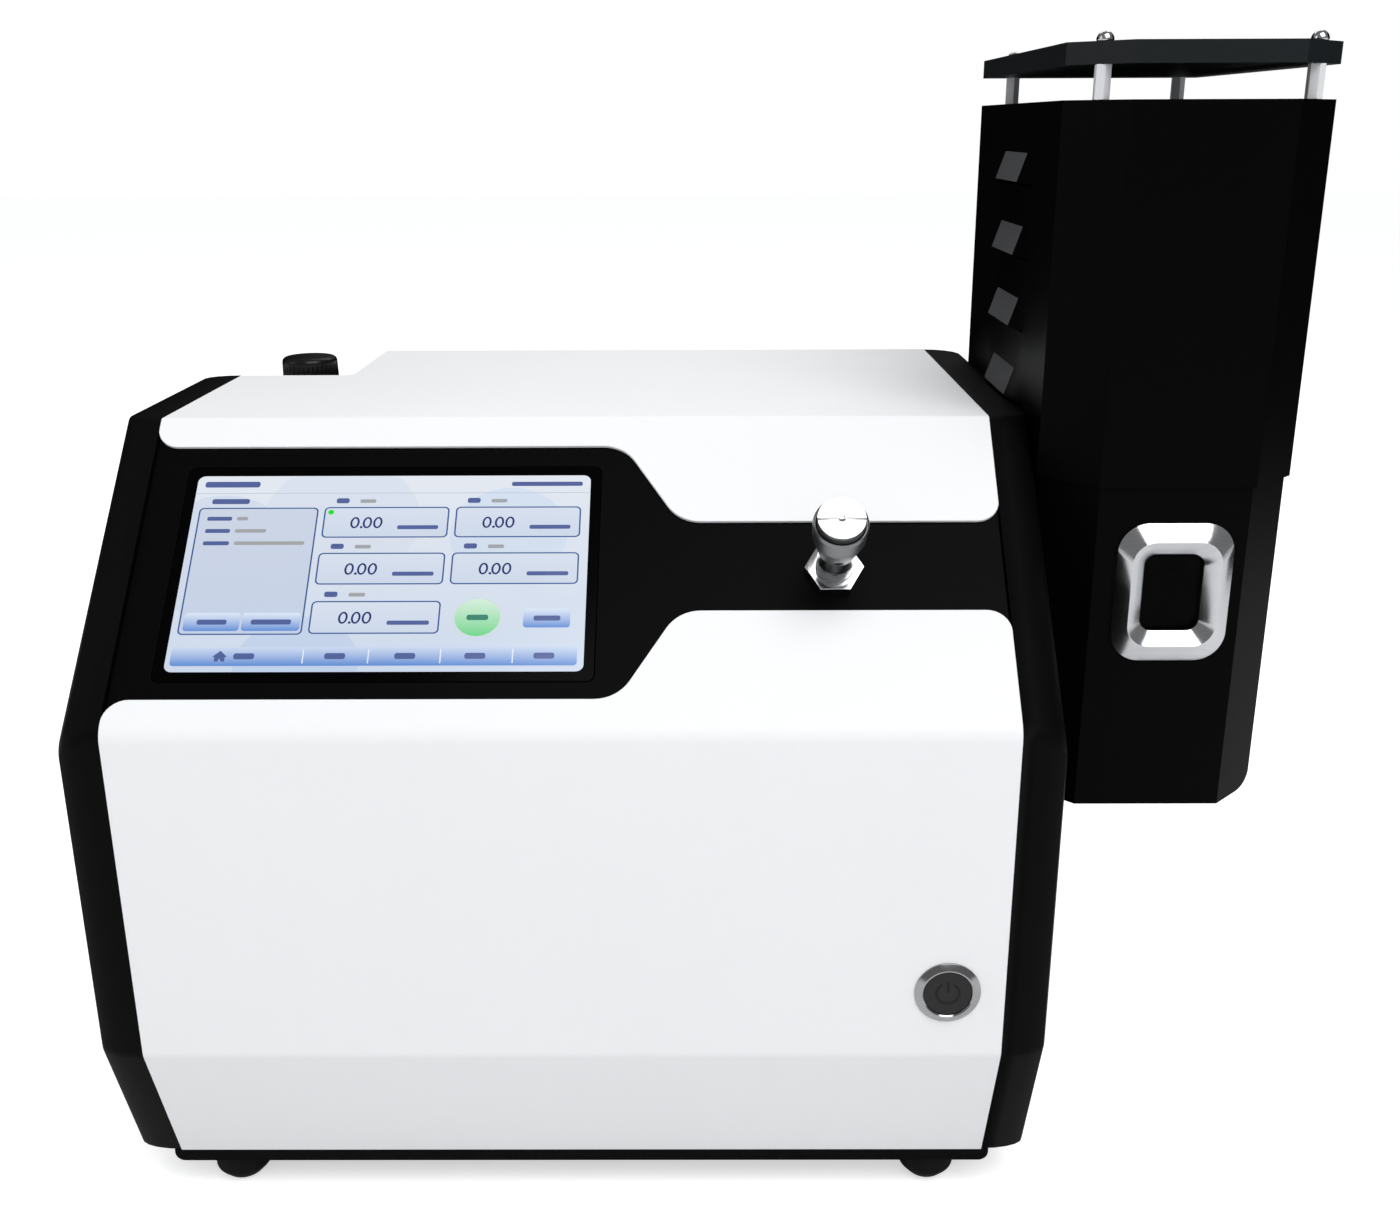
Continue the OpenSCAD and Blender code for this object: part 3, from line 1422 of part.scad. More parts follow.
module flame_glass() {
    foot = flame_seat_z + flame_seat_t + 0.1;
    color("#cfe3ea") difference() {
        translate([burner_x, burner_y, foot])
            ring(flame_glass_d, flame_glass_d - 2 * flame_glass_wall, flame_glass_top - foot);
        rearward(burner_x, burner_y, igniter_z) cylinder(d = 4, h = flame_glass_d);
    }
}

// One louvre's solid form on the plane X = 0, standing out towards -X, with its top edge at Z = 0.
module louvre_form(out, h, l, end, back) {
    polyhedron(
        [[0, -l / 2, 0], [0, l / 2, 0], [-out, -l / 2, -h], [-out, l / 2, -h],
         [0, -l / 2 - end, -h], [0, l / 2 + end, -h], [back, -l / 2, 0], [back, l / 2, 0],
         [back, -l / 2 - end, -h], [back, l / 2 + end, -h]],
        [[0, 2, 3], [0, 3, 1], [0, 4, 2], [1, 3, 5], [2, 4, 8], [2, 8, 9], [2, 9, 3], [3, 9, 5],
         [0, 6, 8], [0, 8, 4], [1, 5, 9], [1, 9, 7], [0, 1, 7], [0, 7, 6], [6, 7, 9], [6, 9, 8]]
    );
}

// Children at every louvre on both sides of the chimney.
module at_louvres() {
    for (side = [0, 1]) for (k = [0:louvre_count - 1])
        translate([side == 0 ? tower_x : tower_end, louvre_y, louvre_z + louvre_h / 2 + k * louvre_pitch])
            mirror([side, 0, 0]) children();
}

module chimney_shell() {
    wall = 1;
    color("#141518") difference() {
        union() {
            difference() {
                translate([0, 0, shell_z]) linear_extrude(shell_top - shell_z) polygon(tower_outline(0));
                translate([0, 0, shell_z - over]) linear_extrude(shell_top - shell_z + over - shell_t)
                    polygon(tower_outline(shell_t));
                translate([0, 0, shell_top - 2 * shell_t]) linear_extrude(4 * shell_t)
                    polygon(tower_outline(flange_w));
            }
            at_louvres() louvre_form(louvre_out, louvre_h, louvre_l, louvre_end, shell_t / 2);
        }
        at_louvres() translate([wall * 1.2, 0, -wall * 1.5])
            louvre_form(louvre_out, louvre_h, louvre_l, louvre_end * 0.8, shell_t);
        for (p = spacer_places) translate([p[0], p[1], shell_top - 2 * shell_t])
            cylinder(d = stud_d + 2 * slack, h = 4 * shell_t);
    }
}

module cap_plate() {
    color("#16181b") difference() {
        translate([0, 0, cap_z]) linear_extrude(cap_t) polygon(tower_outline(0));
        for (p = spacer_places) translate([p[0], p[1], cap_z - over])
            cylinder(d = stud_d + 2 * slack, h = cap_t + 2 * over);
    }
}

module cap_spacers() {
    bore_l = 8;
    color("silver") for (p = spacer_places) translate([p[0], p[1], shell_top]) difference() {
        union() {
            rotate([0, 0, 30]) hexagon(spacer_af, cap_gap);
            translate([0, 0, -shell_t - 1]) cylinder(d = stud_d, h = shell_t + 2);
        }
        translate([0, 0, cap_gap - bore_l]) cylinder(d = stud_d + 0.1, h = bore_l + over);
    }
}

module cap_screws() {
    shank_l = 6;
    color("silver") for (p = spacer_places) translate([p[0], p[1], cap_z + cap_t]) {
        translate([0, 0, -cap_t - shank_l]) cylinder(d = stud_d, h = cap_t + shank_l + 0.5);
        rotate_extrude() polygon(rounded(
            [[0, 0.05], [0, dome_d / 2 + 0.3], [dome_d / 2, dome_d / 2 + 0.3], [dome_d / 2, 0.05]],
            [0, 0, dome_d / 2 - 0.4, 0]
        ));
    }
}

// Moves the case frame so that the origin is under the middle of the whole instrument.
module place() {
    translate([-mid_x, -mid_y, -base_z]) children();
}

place() upper_cover();
place() lower_cover();
place() console_panel();
place() left_side_panel();
place() right_side_panel();
place() base_plate();
place() rear_panel();
place() regulator_deck();
place() feet();
place() foot_screws();
place() case_screws();
place() display_glass();
place() display_module();
place() display_bracket();
place() display_board();
place() fuel_valve_knob();
place() knob_grub_screw();
place() fuel_valve_nut();
place() fuel_valve_body();
place() fuel_valve_needle();
place() power_button_housing();
place() power_button_cap();
place() power_button_nut();
place() power_button_spring();
place() power_switch_block();
place() regulator_body();
place() regulator_bonnet();
place() regulator_nut();
place() regulator_screw();
place() regulator_spring_seat();
place() regulator_spring();
place() regulator_knob();
place() air_inlet_fitting();
place() fuel_inlet_fitting();
place() fuel_solenoid_valve();
place() fuel_tube();
place() air_tube();
place() mains_inlet();
place() fuse_drawer();
place() power_supply();
place() main_board();
place() optics_housing();
place() collimating_lens();
place() colour_filters();
place() photodetectors();
place() amplifier_board();
place() tower_bracket();
place() burner_housing();
place() window_bezel();
place() window_glass();
place() burner_head();
place() mixing_chamber();
place() nebulizer();
place() igniter_electrode();
place() flame_glass();
place() chimney_shell();
place() cap_plate();
place() cap_spacers();
place() cap_screws();
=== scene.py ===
"""Looks of a bench flame photometer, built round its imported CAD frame.

All places in this file are in the case frame, in millimetres: X across from the middle of the case, Y from its
front face to its rear, Z up from its base plate. CaseFrame turns them into the scene's metres.
"""

import logging
import math
from dataclasses import dataclass, field
from enum import Enum

import bmesh
import bpy
import numpy as np
from mathutils import Matrix, Vector
from numpy.typing import ArrayLike


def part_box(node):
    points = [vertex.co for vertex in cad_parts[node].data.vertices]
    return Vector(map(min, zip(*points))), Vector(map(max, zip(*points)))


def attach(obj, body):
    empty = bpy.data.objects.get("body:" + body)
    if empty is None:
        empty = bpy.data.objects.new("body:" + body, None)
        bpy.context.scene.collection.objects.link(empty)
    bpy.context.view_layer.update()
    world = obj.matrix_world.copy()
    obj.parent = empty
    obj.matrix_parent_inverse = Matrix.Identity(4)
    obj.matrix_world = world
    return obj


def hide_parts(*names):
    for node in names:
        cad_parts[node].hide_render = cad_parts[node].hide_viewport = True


LOG = logging.getLogger("flame_photometer")
MM = 0.001

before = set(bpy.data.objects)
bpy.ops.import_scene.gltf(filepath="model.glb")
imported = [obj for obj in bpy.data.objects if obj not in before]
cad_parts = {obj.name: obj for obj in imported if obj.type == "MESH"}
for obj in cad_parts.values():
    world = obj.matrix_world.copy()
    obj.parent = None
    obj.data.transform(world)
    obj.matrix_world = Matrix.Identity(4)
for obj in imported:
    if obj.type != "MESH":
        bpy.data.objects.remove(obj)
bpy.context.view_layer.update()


# ---------------------------------------------------------------- places


@dataclass(frozen=True)
class CaseFrame:
    """Turns millimetres of the case into the scene's metres."""

    origin: tuple[float, float, float]

    @classmethod
    def read(cls) -> "CaseFrame":
        """Finds the case frame's origin from the lower cover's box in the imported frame."""
        low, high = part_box("lower_cover")
        return cls(((low.x + high.x) / 2, low.y, low.z))

    def metres(self, points: ArrayLike) -> np.ndarray:
        """Points of the case frame in the scene's metres.

        Args:
            points: an array whose last axis is X, Y, Z in millimetres.

        Returns:
            The same points in metres, in the row frame.
        """
        return np.asarray(points, float) * MM + np.array(self.origin)


CASE = CaseFrame.read()


@dataclass(frozen=True)
class Axis:
    """A place to build a piece on: local Z runs along the piece's own axis."""

    foot: tuple[float, float, float]
    along: tuple[float, float, float] = (0.0, 0.0, 1.0)
    side: tuple[float, float, float] = (1.0, 0.0, 0.0)

    def basis(self) -> np.ndarray:
        """The local X, Y and Z directions as the rows of a matrix."""
        z = np.array(self.along, float)
        x = np.array(self.side, float)
        return np.stack([x, np.cross(z, x), z])

    def place(self, points: ArrayLike) -> np.ndarray:
        """Local points in the case frame: foot + x * side + y * (along x side) + z * along."""
        return np.array(self.foot) + np.asarray(points, float) @ self.basis()


@dataclass(frozen=True)
class Console:
    """The sloping console: its fold with the front and its angle above the horizontal."""

    fold_z: float = 196.6
    angle: float = 44.1

    def axis(self, x: float, s: float, n: float = 0.0) -> Axis:
        """An axis that stands on the console at X across, s up the slope and n out of it."""
        c, t = math.cos(math.radians(self.angle)), math.sin(math.radians(self.angle))
        return Axis((x, s * c - n * t, self.fold_z + s * t + n * c), (0.0, -t, c))


CONSOLE = Console()
Grids = list[tuple[np.ndarray, Axis]]


# ---------------------------------------------------------------- outlines and surfaces


def rounded(points: list[tuple[float, float]], radii: list[float], steps: int = 6) -> np.ndarray:
    """An outline with its corners turned into arcs.

    Each arc touches both edges at r / tan(half the corner's angle) from the corner, and its centre lies on the
    corner's bisector at r / sin(half the angle).

    Args:
        points: the corners in order.
        radii: the radius at each corner, 0 for a sharp one.
        steps: the segments in each arc.

    Returns:
        An array of points, one row each.
    """
    made = []
    corners = np.asarray(points, float)
    for i, r in enumerate(radii):
        p = corners[i]
        if r <= 0:
            made.append(p[None])
            continue
        u = corners[i - 1] - p
        v = corners[(i + 1) % len(corners)] - p
        u, v = u / np.linalg.norm(u), v / np.linalg.norm(v)
        half = math.acos(float(np.clip(u @ v, -1, 1))) / 2
        centre = p + (u + v) / np.linalg.norm(u + v) * r / math.sin(half)
        first, last = p + u * r / math.tan(half) - centre, p + v * r / math.tan(half) - centre
        start = math.atan2(first[1], first[0])
        turn = (math.atan2(last[1], last[0]) - start + math.pi) % (2 * math.pi) - math.pi
        a = start + turn * np.linspace(0, 1, steps + 1)
        made.append(centre + r * np.stack([np.cos(a), np.sin(a)], 1))
    return np.concatenate(made)


def rounded_box(w: float, h: float, r: float, steps: int = 8) -> np.ndarray:
    """The outline of a rectangle of width w and height h with corners of radius r, anticlockwise."""
    corners = [(w / 2, -h / 2), (w / 2, h / 2), (-w / 2, h / 2), (-w / 2, -h / 2)]
    return rounded(corners, [r] * 4, steps)


def grid_faces(rows: int, columns: int, wrap_rows: bool = False, wrap_columns: bool = True) -> np.ndarray:
    """The four-sided faces between the points of a grid, stored row by row.

    Args:
        rows: points along the first parameter.
        columns: points along the second parameter.
        wrap_rows: joins the last row to the first.
        wrap_columns: joins the last column to the first.

    Returns:
        One row of four point numbers for each face.
    """
    i = np.arange(rows if wrap_rows else rows - 1)
    j = np.arange(columns if wrap_columns else columns - 1)
    a, b = np.meshgrid(i, j, indexing="ij")
    a1, b1 = (a + 1) % rows, (b + 1) % columns
    quads = np.stack([a * columns + b, a * columns + b1, a1 * columns + b1, a1 * columns + b], -1)
    return quads.reshape(-1, 4)


def turned(profile: np.ndarray, sides: int = 96) -> np.ndarray:
    """A surface of revolution: each profile point (r, z) goes round the Z axis as (r cos a, r sin a, z)."""
    a = np.linspace(0, 2 * math.pi, sides, endpoint=False)
    r, z = profile[:, :1], profile[:, 1:]
    return np.stack([r * np.cos(a), r * np.sin(a), z + 0 * a], -1)


def stacked(loops: list[np.ndarray], heights: list[float]) -> np.ndarray:
    """Outlines with the same number of points, each lifted to its own height, as one grid of points."""
    return np.stack([np.column_stack([loop, np.full(len(loop), z)]) for loop, z in zip(loops, heights)])


def swept(route: np.ndarray, radius: float, sides: int = 10) -> np.ndarray:
    """A tube of circles round a route: each circle lies across the route's direction there.

    Args:
        route: the points of the tube's middle line.
        radius: the tube's radius.
        sides: the points in each circle.

    Returns:
        A grid with a row for each point of the route.
    """
    way = np.gradient(route, axis=0)
    way /= np.linalg.norm(way, axis=1, keepdims=True)
    up = np.array([0.0, 0.0, 1.0]) if abs(way[0, 2]) < 0.9 else np.array([1.0, 0.0, 0.0])
    across = np.cross(way, up)
    across /= np.linalg.norm(across, axis=1, keepdims=True)
    third = np.cross(way, across)
    a = np.linspace(0, 2 * math.pi, sides, endpoint=False)[None, :, None]
    return route[:, None] + radius * (np.cos(a) * across[:, None] + np.sin(a) * third[:, None])


def densified(outline: np.ndarray, step: float) -> np.ndarray:
    """An open outline with more points on each of its straight parts, about a step apart, without its last point."""
    runs = []
    for a, b in zip(outline[:-1], outline[1:]):
        runs.append(np.linspace(a, b, max(2, int(np.linalg.norm(b - a) / step)), endpoint=False))
    return np.concatenate(runs)


def coiled(radius: float, wire: float, low: float, high: float, turns: float) -> np.ndarray:
    """The grid of a coil spring.

    The route is a helix: the radius stays, the angle grows evenly, and the height rises slowly at both ends so that
    the end turns lie flat.

    Args:
        radius: the spring's outer radius.
        wire: the wire's radius.
        low: the lower end's height.
        high: the upper end's height.
        turns: the number of turns.

    Returns:
        A grid with a row for each point of the route.
    """
    t = np.linspace(0, 1, int(turns * 28))
    rise = np.clip((t - 0.08) / 0.84, 0, 1)
    a = 2 * math.pi * turns * t
    z = low + wire + (high - low - 2 * wire) * rise
    return swept(np.column_stack([(radius - wire) * np.cos(a), (radius - wire) * np.sin(a), z]), wire, 12)


def linked(name: str, data: bpy.types.ID) -> bpy.types.Object:
    """A new object with the given data, in the scene."""
    obj = bpy.data.objects.new(name, data)
    bpy.context.scene.collection.objects.link(obj)
    return obj


def smooth(mesh: bpy.types.Mesh) -> None:
    """Shades all faces of a mesh smooth."""
    mesh.polygons.foreach_set("use_smooth", np.ones(len(mesh.polygons), bool))


class Stock:
    """Makes scene objects out of points and faces, in place and with their faces outwards."""

    WELD = 1e-6
    NODE_WELD = 2e-7
    FLAT_ANGLE = 0.3
    EASED_ANGLE = 30.0

    @staticmethod
    def plain(name: str, points: ArrayLike, faces: list) -> bpy.types.Object:
        """A mesh object from points in metres and lists of point numbers."""
        mesh = bpy.data.meshes.new(name)
        mesh.from_pydata(np.reshape(points, (-1, 3)).tolist(), [], faces)
        return linked(name, mesh)

    @classmethod
    def closed(cls, name: str, grids: Grids, ends: bool = True, sharp: float = 32.0) -> bpy.types.Object:
        """Closed surfaces, each from a grid of rows on its own axis, as one object.

        Args:
            name: the object's name.
            grids: rows by columns by 3 in millimetres, and the axis that the grid stands on.
            ends: caps both ends of each grid; otherwise the last row joins the first.
            sharp: the angle in degrees past which an edge is shaded sharp.

        Returns:
            The new object, at the origin, with its place in its mesh.
        """
        points, faces, base = [], [], 0
        for grid, axis in grids:
            rows, columns = grid.shape[:2]
            faces += (grid_faces(rows, columns, wrap_rows=not ends) + base).tolist()
            if ends:
                last = base + (rows - 1) * columns
                faces += [list(range(base, base + columns)), list(range(last, last + columns))]
            points.append(axis.place(grid.reshape(-1, 3)))
            base += rows * columns
        obj = cls.plain(name, CASE.metres(np.concatenate(points)), faces)
        made = bmesh.new()
        made.from_mesh(obj.data)
        bmesh.ops.remove_doubles(made, verts=made.verts, dist=cls.WELD)
        bmesh.ops.recalc_face_normals(made, faces=made.faces)
        made.to_mesh(obj.data)
        made.free()
        smooth(obj.data)
        obj.data.set_sharp_from_angle(angle=math.radians(sharp))
        return obj

    @classmethod
    def eased(cls, node: str, width: float, merged: bool) -> bpy.types.Object:
        """A copy of a CAD node with its edges eased, and its triangles merged into flat faces if asked.

        Args:
            node: the CAD node's name.
            width: the width of the eased edge in millimetres.
            merged: merges triangles into flat faces; a face with holes in it is better left in triangles.

        Returns:
            The new object, which stands for the node.
        """
        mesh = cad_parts[node].data.copy()
        mesh.name = node + "_form"
        made = bmesh.new()
        made.from_mesh(mesh)
        bmesh.ops.remove_doubles(made, verts=made.verts, dist=cls.NODE_WELD)
        if merged:
            flat = {"angle_limit": math.radians(cls.FLAT_ANGLE), "use_dissolve_boundaries": False}
            bmesh.ops.dissolve_limit(made, verts=made.verts, edges=made.edges, **flat)
        made.to_mesh(mesh)
        made.free()
        if mesh.attributes.get("custom_normal"):
            mesh.attributes.remove(mesh.attributes["custom_normal"])
        smooth(mesh)
        mesh.materials.clear()
        obj = linked(mesh.name, mesh)
        bevel = obj.modifiers.new("eased_edges", "BEVEL")
        bevel.width = width * MM
        bevel.segments = 2
        bevel.limit_method = "ANGLE"
        bevel.angle_limit = math.radians(cls.EASED_ANGLE)
        bevel.harden_normals = True
        bevel.use_clamp_overlap = True
        bevel.miter_outer = "MITER_ARC"
        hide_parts(node)
        return obj


# ---------------------------------------------------------------- shader groups


Colour = tuple[float, float, float]
Socket = bpy.types.NodeSocket
Sockets = bpy.types.bpy_prop_collection
MIDDLE_GREY = (0.5, 0.5, 0.5, 1)


def grey(value: float) -> Colour:
    """A neutral colour in the linear values that the shader takes."""
    return (value, value, value)


def shade(red: int, green: int, blue: int) -> Colour:
    """A colour given as screen values from 0 to 255, in the linear values that the shader takes."""
    shares = (red / 255, green / 255, blue / 255)
    return tuple(c / 12.92 if c <= 0.04045 else ((c + 0.055) / 1.055) ** 2.4 for c in shares)


class Board:
    """A node tree with short calls that add and join its nodes."""

    KINDS = {type(None): "NodeSocketVector", float: "NodeSocketFloat", tuple: "NodeSocketColor"}

    def __init__(self, tree: bpy.types.NodeTree) -> None:
        """Works on the given tree."""
        self.tree = tree

    @classmethod
    def of_group(cls, name: str, inputs: dict[str, object], outputs: list[str]) -> tuple["Board", dict]:
        """The board of a new shader group.

        Args:
            name: the group's name.
            inputs: the start of each input: a number, a colour, or None for a vector.
            outputs: the name of each output: Colour is a colour, the others are numbers.

        Returns:
            The board, and the group's input sockets by name.
        """
        board = cls(bpy.data.node_groups.new(name, "ShaderNodeTree"))
        new_socket = board.tree.interface.new_socket
        for label, start in inputs.items():
            socket = new_socket(name=label, in_out="INPUT", socket_type=cls.KINDS[type(start)])
            if start is not None:
                socket.default_value = start
        for label in outputs:
            kind = cls.KINDS[tuple if label == "Colour" else float]
            new_socket(name=label, in_out="OUTPUT", socket_type=kind)
        return board, {socket.name: socket for socket in board.node("NodeGroupInput").outputs}

    def feed(self, node: bpy.types.Node, inputs: dict) -> None:
        """Gives a node's inputs, by name or number, their values, or joins them to output sockets."""
        for name, value in inputs.items():
            if isinstance(value, Socket):
                self.tree.links.new(value, node.inputs[name])
            else:
                node.inputs[name].default_value = value

    def node(self, kind: str, inputs: dict | None = None, **settings: object) -> bpy.types.Node:
        """Adds a node.

        Args:
            kind: the node's type.
            inputs: values or output sockets for the node's inputs, by name or number.
            settings: values for the node's own properties.

        Returns:
            The new node.
        """
        made = self.tree.nodes.new(kind)
        for name, value in settings.items():
            setattr(made, name, value)
        self.feed(made, inputs or {})
        return made

    def maths(self, operation: str, *values: object, clamp: bool = False) -> Socket:
        """The result of a Math node."""
        return self.node("ShaderNodeMath", dict(enumerate(values)), operation=operation, use_clamp=clamp).outputs[0]

    def plus(self, first: object, second: object, clamp: bool = False) -> Socket:
        """A sum, kept between 0 and 1 if asked."""
        return self.maths("ADD", first, second, clamp=clamp)

    def minus(self, first: object, second: object) -> Socket:
        """A difference."""
        return self.maths("SUBTRACT", first, second)

    def times(self, first: object, second: object, clamp: bool = False) -> Socket:
        """A product, kept between 0 and 1 if asked."""
        return self.maths("MULTIPLY", first, second, clamp=clamp)

    def scaled(self, colour: object, gain: object) -> Socket:
        """A colour times a number."""
        return self.node("ShaderNodeVectorMath", {0: colour, "Scale": gain}, operation="SCALE").outputs[0]

    def mix(self, share: object, first: object, second: object) -> Socket:
        """A colour between two colours."""
        return self.node("ShaderNodeMix", {0: share, 6: first, 7: second}, data_type="RGBA").outputs[2]

    def noise(self, place: object, scale: object, detail: float) -> Socket:
        """The value of a noise texture."""
        return self.node("ShaderNodeTexNoise", {"Vector": place, "Scale": scale, "Detail": detail}).outputs[0]

    def spread(self, value: object, low: float, high: float, to_low: float, to_high: float) -> Socket:
        """A value moved from one range to another, smoothly and without going past its ends."""
        ends = {0: value, 1: low, 2: high, 3: to_low, 4: to_high}
        return self.node("ShaderNodeMapRange", ends, interpolation_type="SMOOTHSTEP").outputs[0]

    def group(self, tree: bpy.types.NodeTree, inputs: dict) -> Sockets:
        """The outputs of a shader group, by name."""
        return self.node("ShaderNodeGroup", inputs, node_tree=tree).outputs

    def bump(self, height: object, deep: float) -> Socket:
        """The normal of a relief that is so many millimetres deep."""
        return self.node("ShaderNodeBump", {"Strength": 1.0, "Distance": deep * MM, "Height": height}).outputs[0]

    def smeared(self, place: object, roughness: object, amount: float) -> Socket:
        """A roughness with the smears of handling over it."""
        return self.group(EFFECTS.handling, {"Vector": place, "Roughness": roughness, "Amount": amount})["Roughness"]


class Effects:
    """The shader groups that several finishes share."""

    def __init__(self) -> None:
        """Builds each group once."""
        self.coating = self._coating()
        self.settled_dust = self._settled_dust()
        self.machining = self._machining()
        self.handling = self._handling()

    @staticmethod
    def _coating() -> bpy.types.NodeTree:
        """Fine grain of a sprayed or moulded surface, with slow changes of shade over its area."""
        starts = {"Grain Scale": 900.0, "Shade": 0.04, "Roughness": 0.5, "Roughness Spread": 0.06}
        board, given = Board.of_group(
            "coating_grain", {"Vector": None, "Colour": MIDDLE_GREY, **starts}, ["Colour", "Roughness", "Height"]
        )
        place, scale = given["Vector"], given["Grain Scale"]
        fine, slow = board.noise(place, scale, 3.0), board.noise(place, 9.0, 4.0)
        pits = board.node("ShaderNodeTexVoronoi", {"Vector": place, "Scale": scale}).outputs[0]
        wave = board.plus(board.minus(slow, 0.5), board.times(board.minus(fine, 0.5), 0.5))
        gain = board.plus(1.0, board.times(board.times(wave, given["Shade"]), 2.0))
        results = {
            "Colour": board.scaled(given["Colour"], gain),
            "Roughness": board.plus(given["Roughness"], board.times(wave, given["Roughness Spread"]), clamp=True),
            "Height": board.plus(fine, board.times(pits, 0.6)),
        }
        board.node("NodeGroupOutput", results)
        return board.tree

    @staticmethod
    def _settled_dust() -> bpy.types.NodeTree:
        """A thin veil of dust on faces that look up, thicker in patches."""
        starts = {"Roughness": 0.5, "Dust Colour": (0.3, 0.3, 0.29, 1), "Amount": 0.1}
        board, given = Board.of_group(
            "settled_dust", {"Vector": None, "Colour": MIDDLE_GREY, **starts}, ["Colour", "Roughness"]
        )
        normal = board.node("ShaderNodeNewGeometry").outputs["Normal"]
        up = board.spread(board.node("ShaderNodeSeparateXYZ", {0: normal}).outputs[2], 0.35, 0.95, 0.0, 1.0)
        patches = board.spread(board.noise(given["Vector"], 26.0, 6.0), 0.3, 0.75, 0.25, 1.0)
        specks = board.spread(board.noise(given["Vector"], 1400.0, 1.0), 0.45, 0.62, 0.2, 1.0)
        mask = board.times(board.times(up, board.times(patches, specks)), given["Amount"], clamp=True)
        results = {
            "Colour": board.mix(mask, given["Colour"], given["Dust Colour"]),
            "Roughness": board.plus(given["Roughness"], board.times(mask, 0.5), clamp=True),
        }
        board.node("NodeGroupOutput", results)
        return board.tree

    @staticmethod
    def _machining() -> bpy.types.NodeTree:
        """Fine tool lines: rings round the vector's Z axis, or straight lines along its X axis."""
        starts = {"Ring Share": 1.0, "Line Scale": 2500.0, "Roughness": 0.2, "Roughness Spread": 0.1}
        board, given = Board.of_group(
            "machining_lines", {"Vector": None, "Colour": MIDDLE_GREY, **starts}, ["Colour", "Roughness", "Height"]
        )
        x, y, z = board.node("ShaderNodeSeparateXYZ", {0: given["Vector"]}).outputs
        flat = board.node("ShaderNodeCombineXYZ", {0: x, 1: y}).outputs[0]
        radius = board.node("ShaderNodeVectorMath", {0: flat}, operation="LENGTH").outputs["Value"]
        straight = board.times(y, board.minus(1.0, given["Ring Share"]))
        across = board.plus(board.plus(board.times(radius, given["Ring Share"]), z), straight)
        read = {"W": across, "Scale": given["Line Scale"], "Detail": 3.0}
        lines = board.node("ShaderNodeTexNoise", read, noise_dimensions="1D").outputs[0]
        cloud = board.noise(given["Vector"], 120.0, 3.0)
        wave = board.minus(board.plus(board.times(lines, 0.7), board.times(cloud, 0.3)), 0.5)
        results = {
            "Colour": board.scaled(given["Colour"], board.plus(1.0, board.times(wave, 0.35))),
            "Roughness": board.plus(given["Roughness"], board.times(wave, given["Roughness Spread"]), clamp=True),
            "Height": lines,
        }
        board.node("NodeGroupOutput", results)
        return board.tree

    @staticmethod
    def _handling() -> bpy.types.NodeTree:
        """Faint smears that hands and cloths leave: they change only the roughness."""
        board, given = Board.of_group(
            "handling_smears", {"Vector": None, "Roughness": 0.1, "Amount": 0.1}, ["Roughness"]
        )
        warp = board.node("ShaderNodeTexNoise", {"Vector": given["Vector"], "Scale": 14.0, "Detail": 2.0}).outputs[1]
        bent = board.node("ShaderNodeVectorMath", {0: given["Vector"], 1: warp}, operation="MULTIPLY").outputs[0]
        level = board.spread(board.noise(bent, 34.0, 5.0), 0.45, 0.7, 0.0, 1.0)
        rough = board.plus(given["Roughness"], board.times(level, given["Amount"]), clamp=True)
        board.node("NodeGroupOutput", {"Roughness": rough})
        return board.tree


EFFECTS = Effects()


# ---------------------------------------------------------------- finishes


class Slot(Enum):
    """The record's material slots that new pieces are named with; the dressed CAD nodes keep their own."""

    WHITE = "white_powder_coat"
    CONSOLE = "black_console"
    MOULDING = "black_moulding"
    BLACK_COAT = "black_powder_coat"
    RUBBER = "foot_rubber"
    SCREW = "steel_screw"
    TOUCH_GLASS = "touch_glass"
    POLISHED = "polished_steel"
    BRASS = "brass_body"
    DARK_CHROME = "dark_chrome"
    SPRING = "spring_steel"
    PLASTIC = "black_plastic"
    ZINC = "cast_zinc"
    SUPPLY = "supply_sheet"
    BEZEL = "bezel_metal"


@dataclass(frozen=True)
class Finish:
    """A finish: makes one material of its name."""

    name: str

    def material(self) -> bpy.types.Material:
        """The material, made at its first use, whose patterns read the Object coordinates."""
        made = bpy.data.materials.get(self.name)
        if made is None:
            made = bpy.data.materials.new(self.name)
            made.use_nodes = True
            made.node_tree.nodes.clear()
            board = Board(made.node_tree)
            place = board.node("ShaderNodeTexCoord").outputs["Object"]
            surface = board.node("ShaderNodeBsdfPrincipled", self.surface(board, place))
            board.node("ShaderNodeOutputMaterial", {"Surface": surface.outputs[0]})
        return made

    def surface(self, board: Board, place: Socket) -> dict[str, object]:
        """Adds the finish's patterns.

        Args:
            board: the material's board.
            place: the coordinates that the patterns read.

        Returns:
            Values or output sockets for the inputs of the surface shader, by name.
        """
        raise NotImplementedError


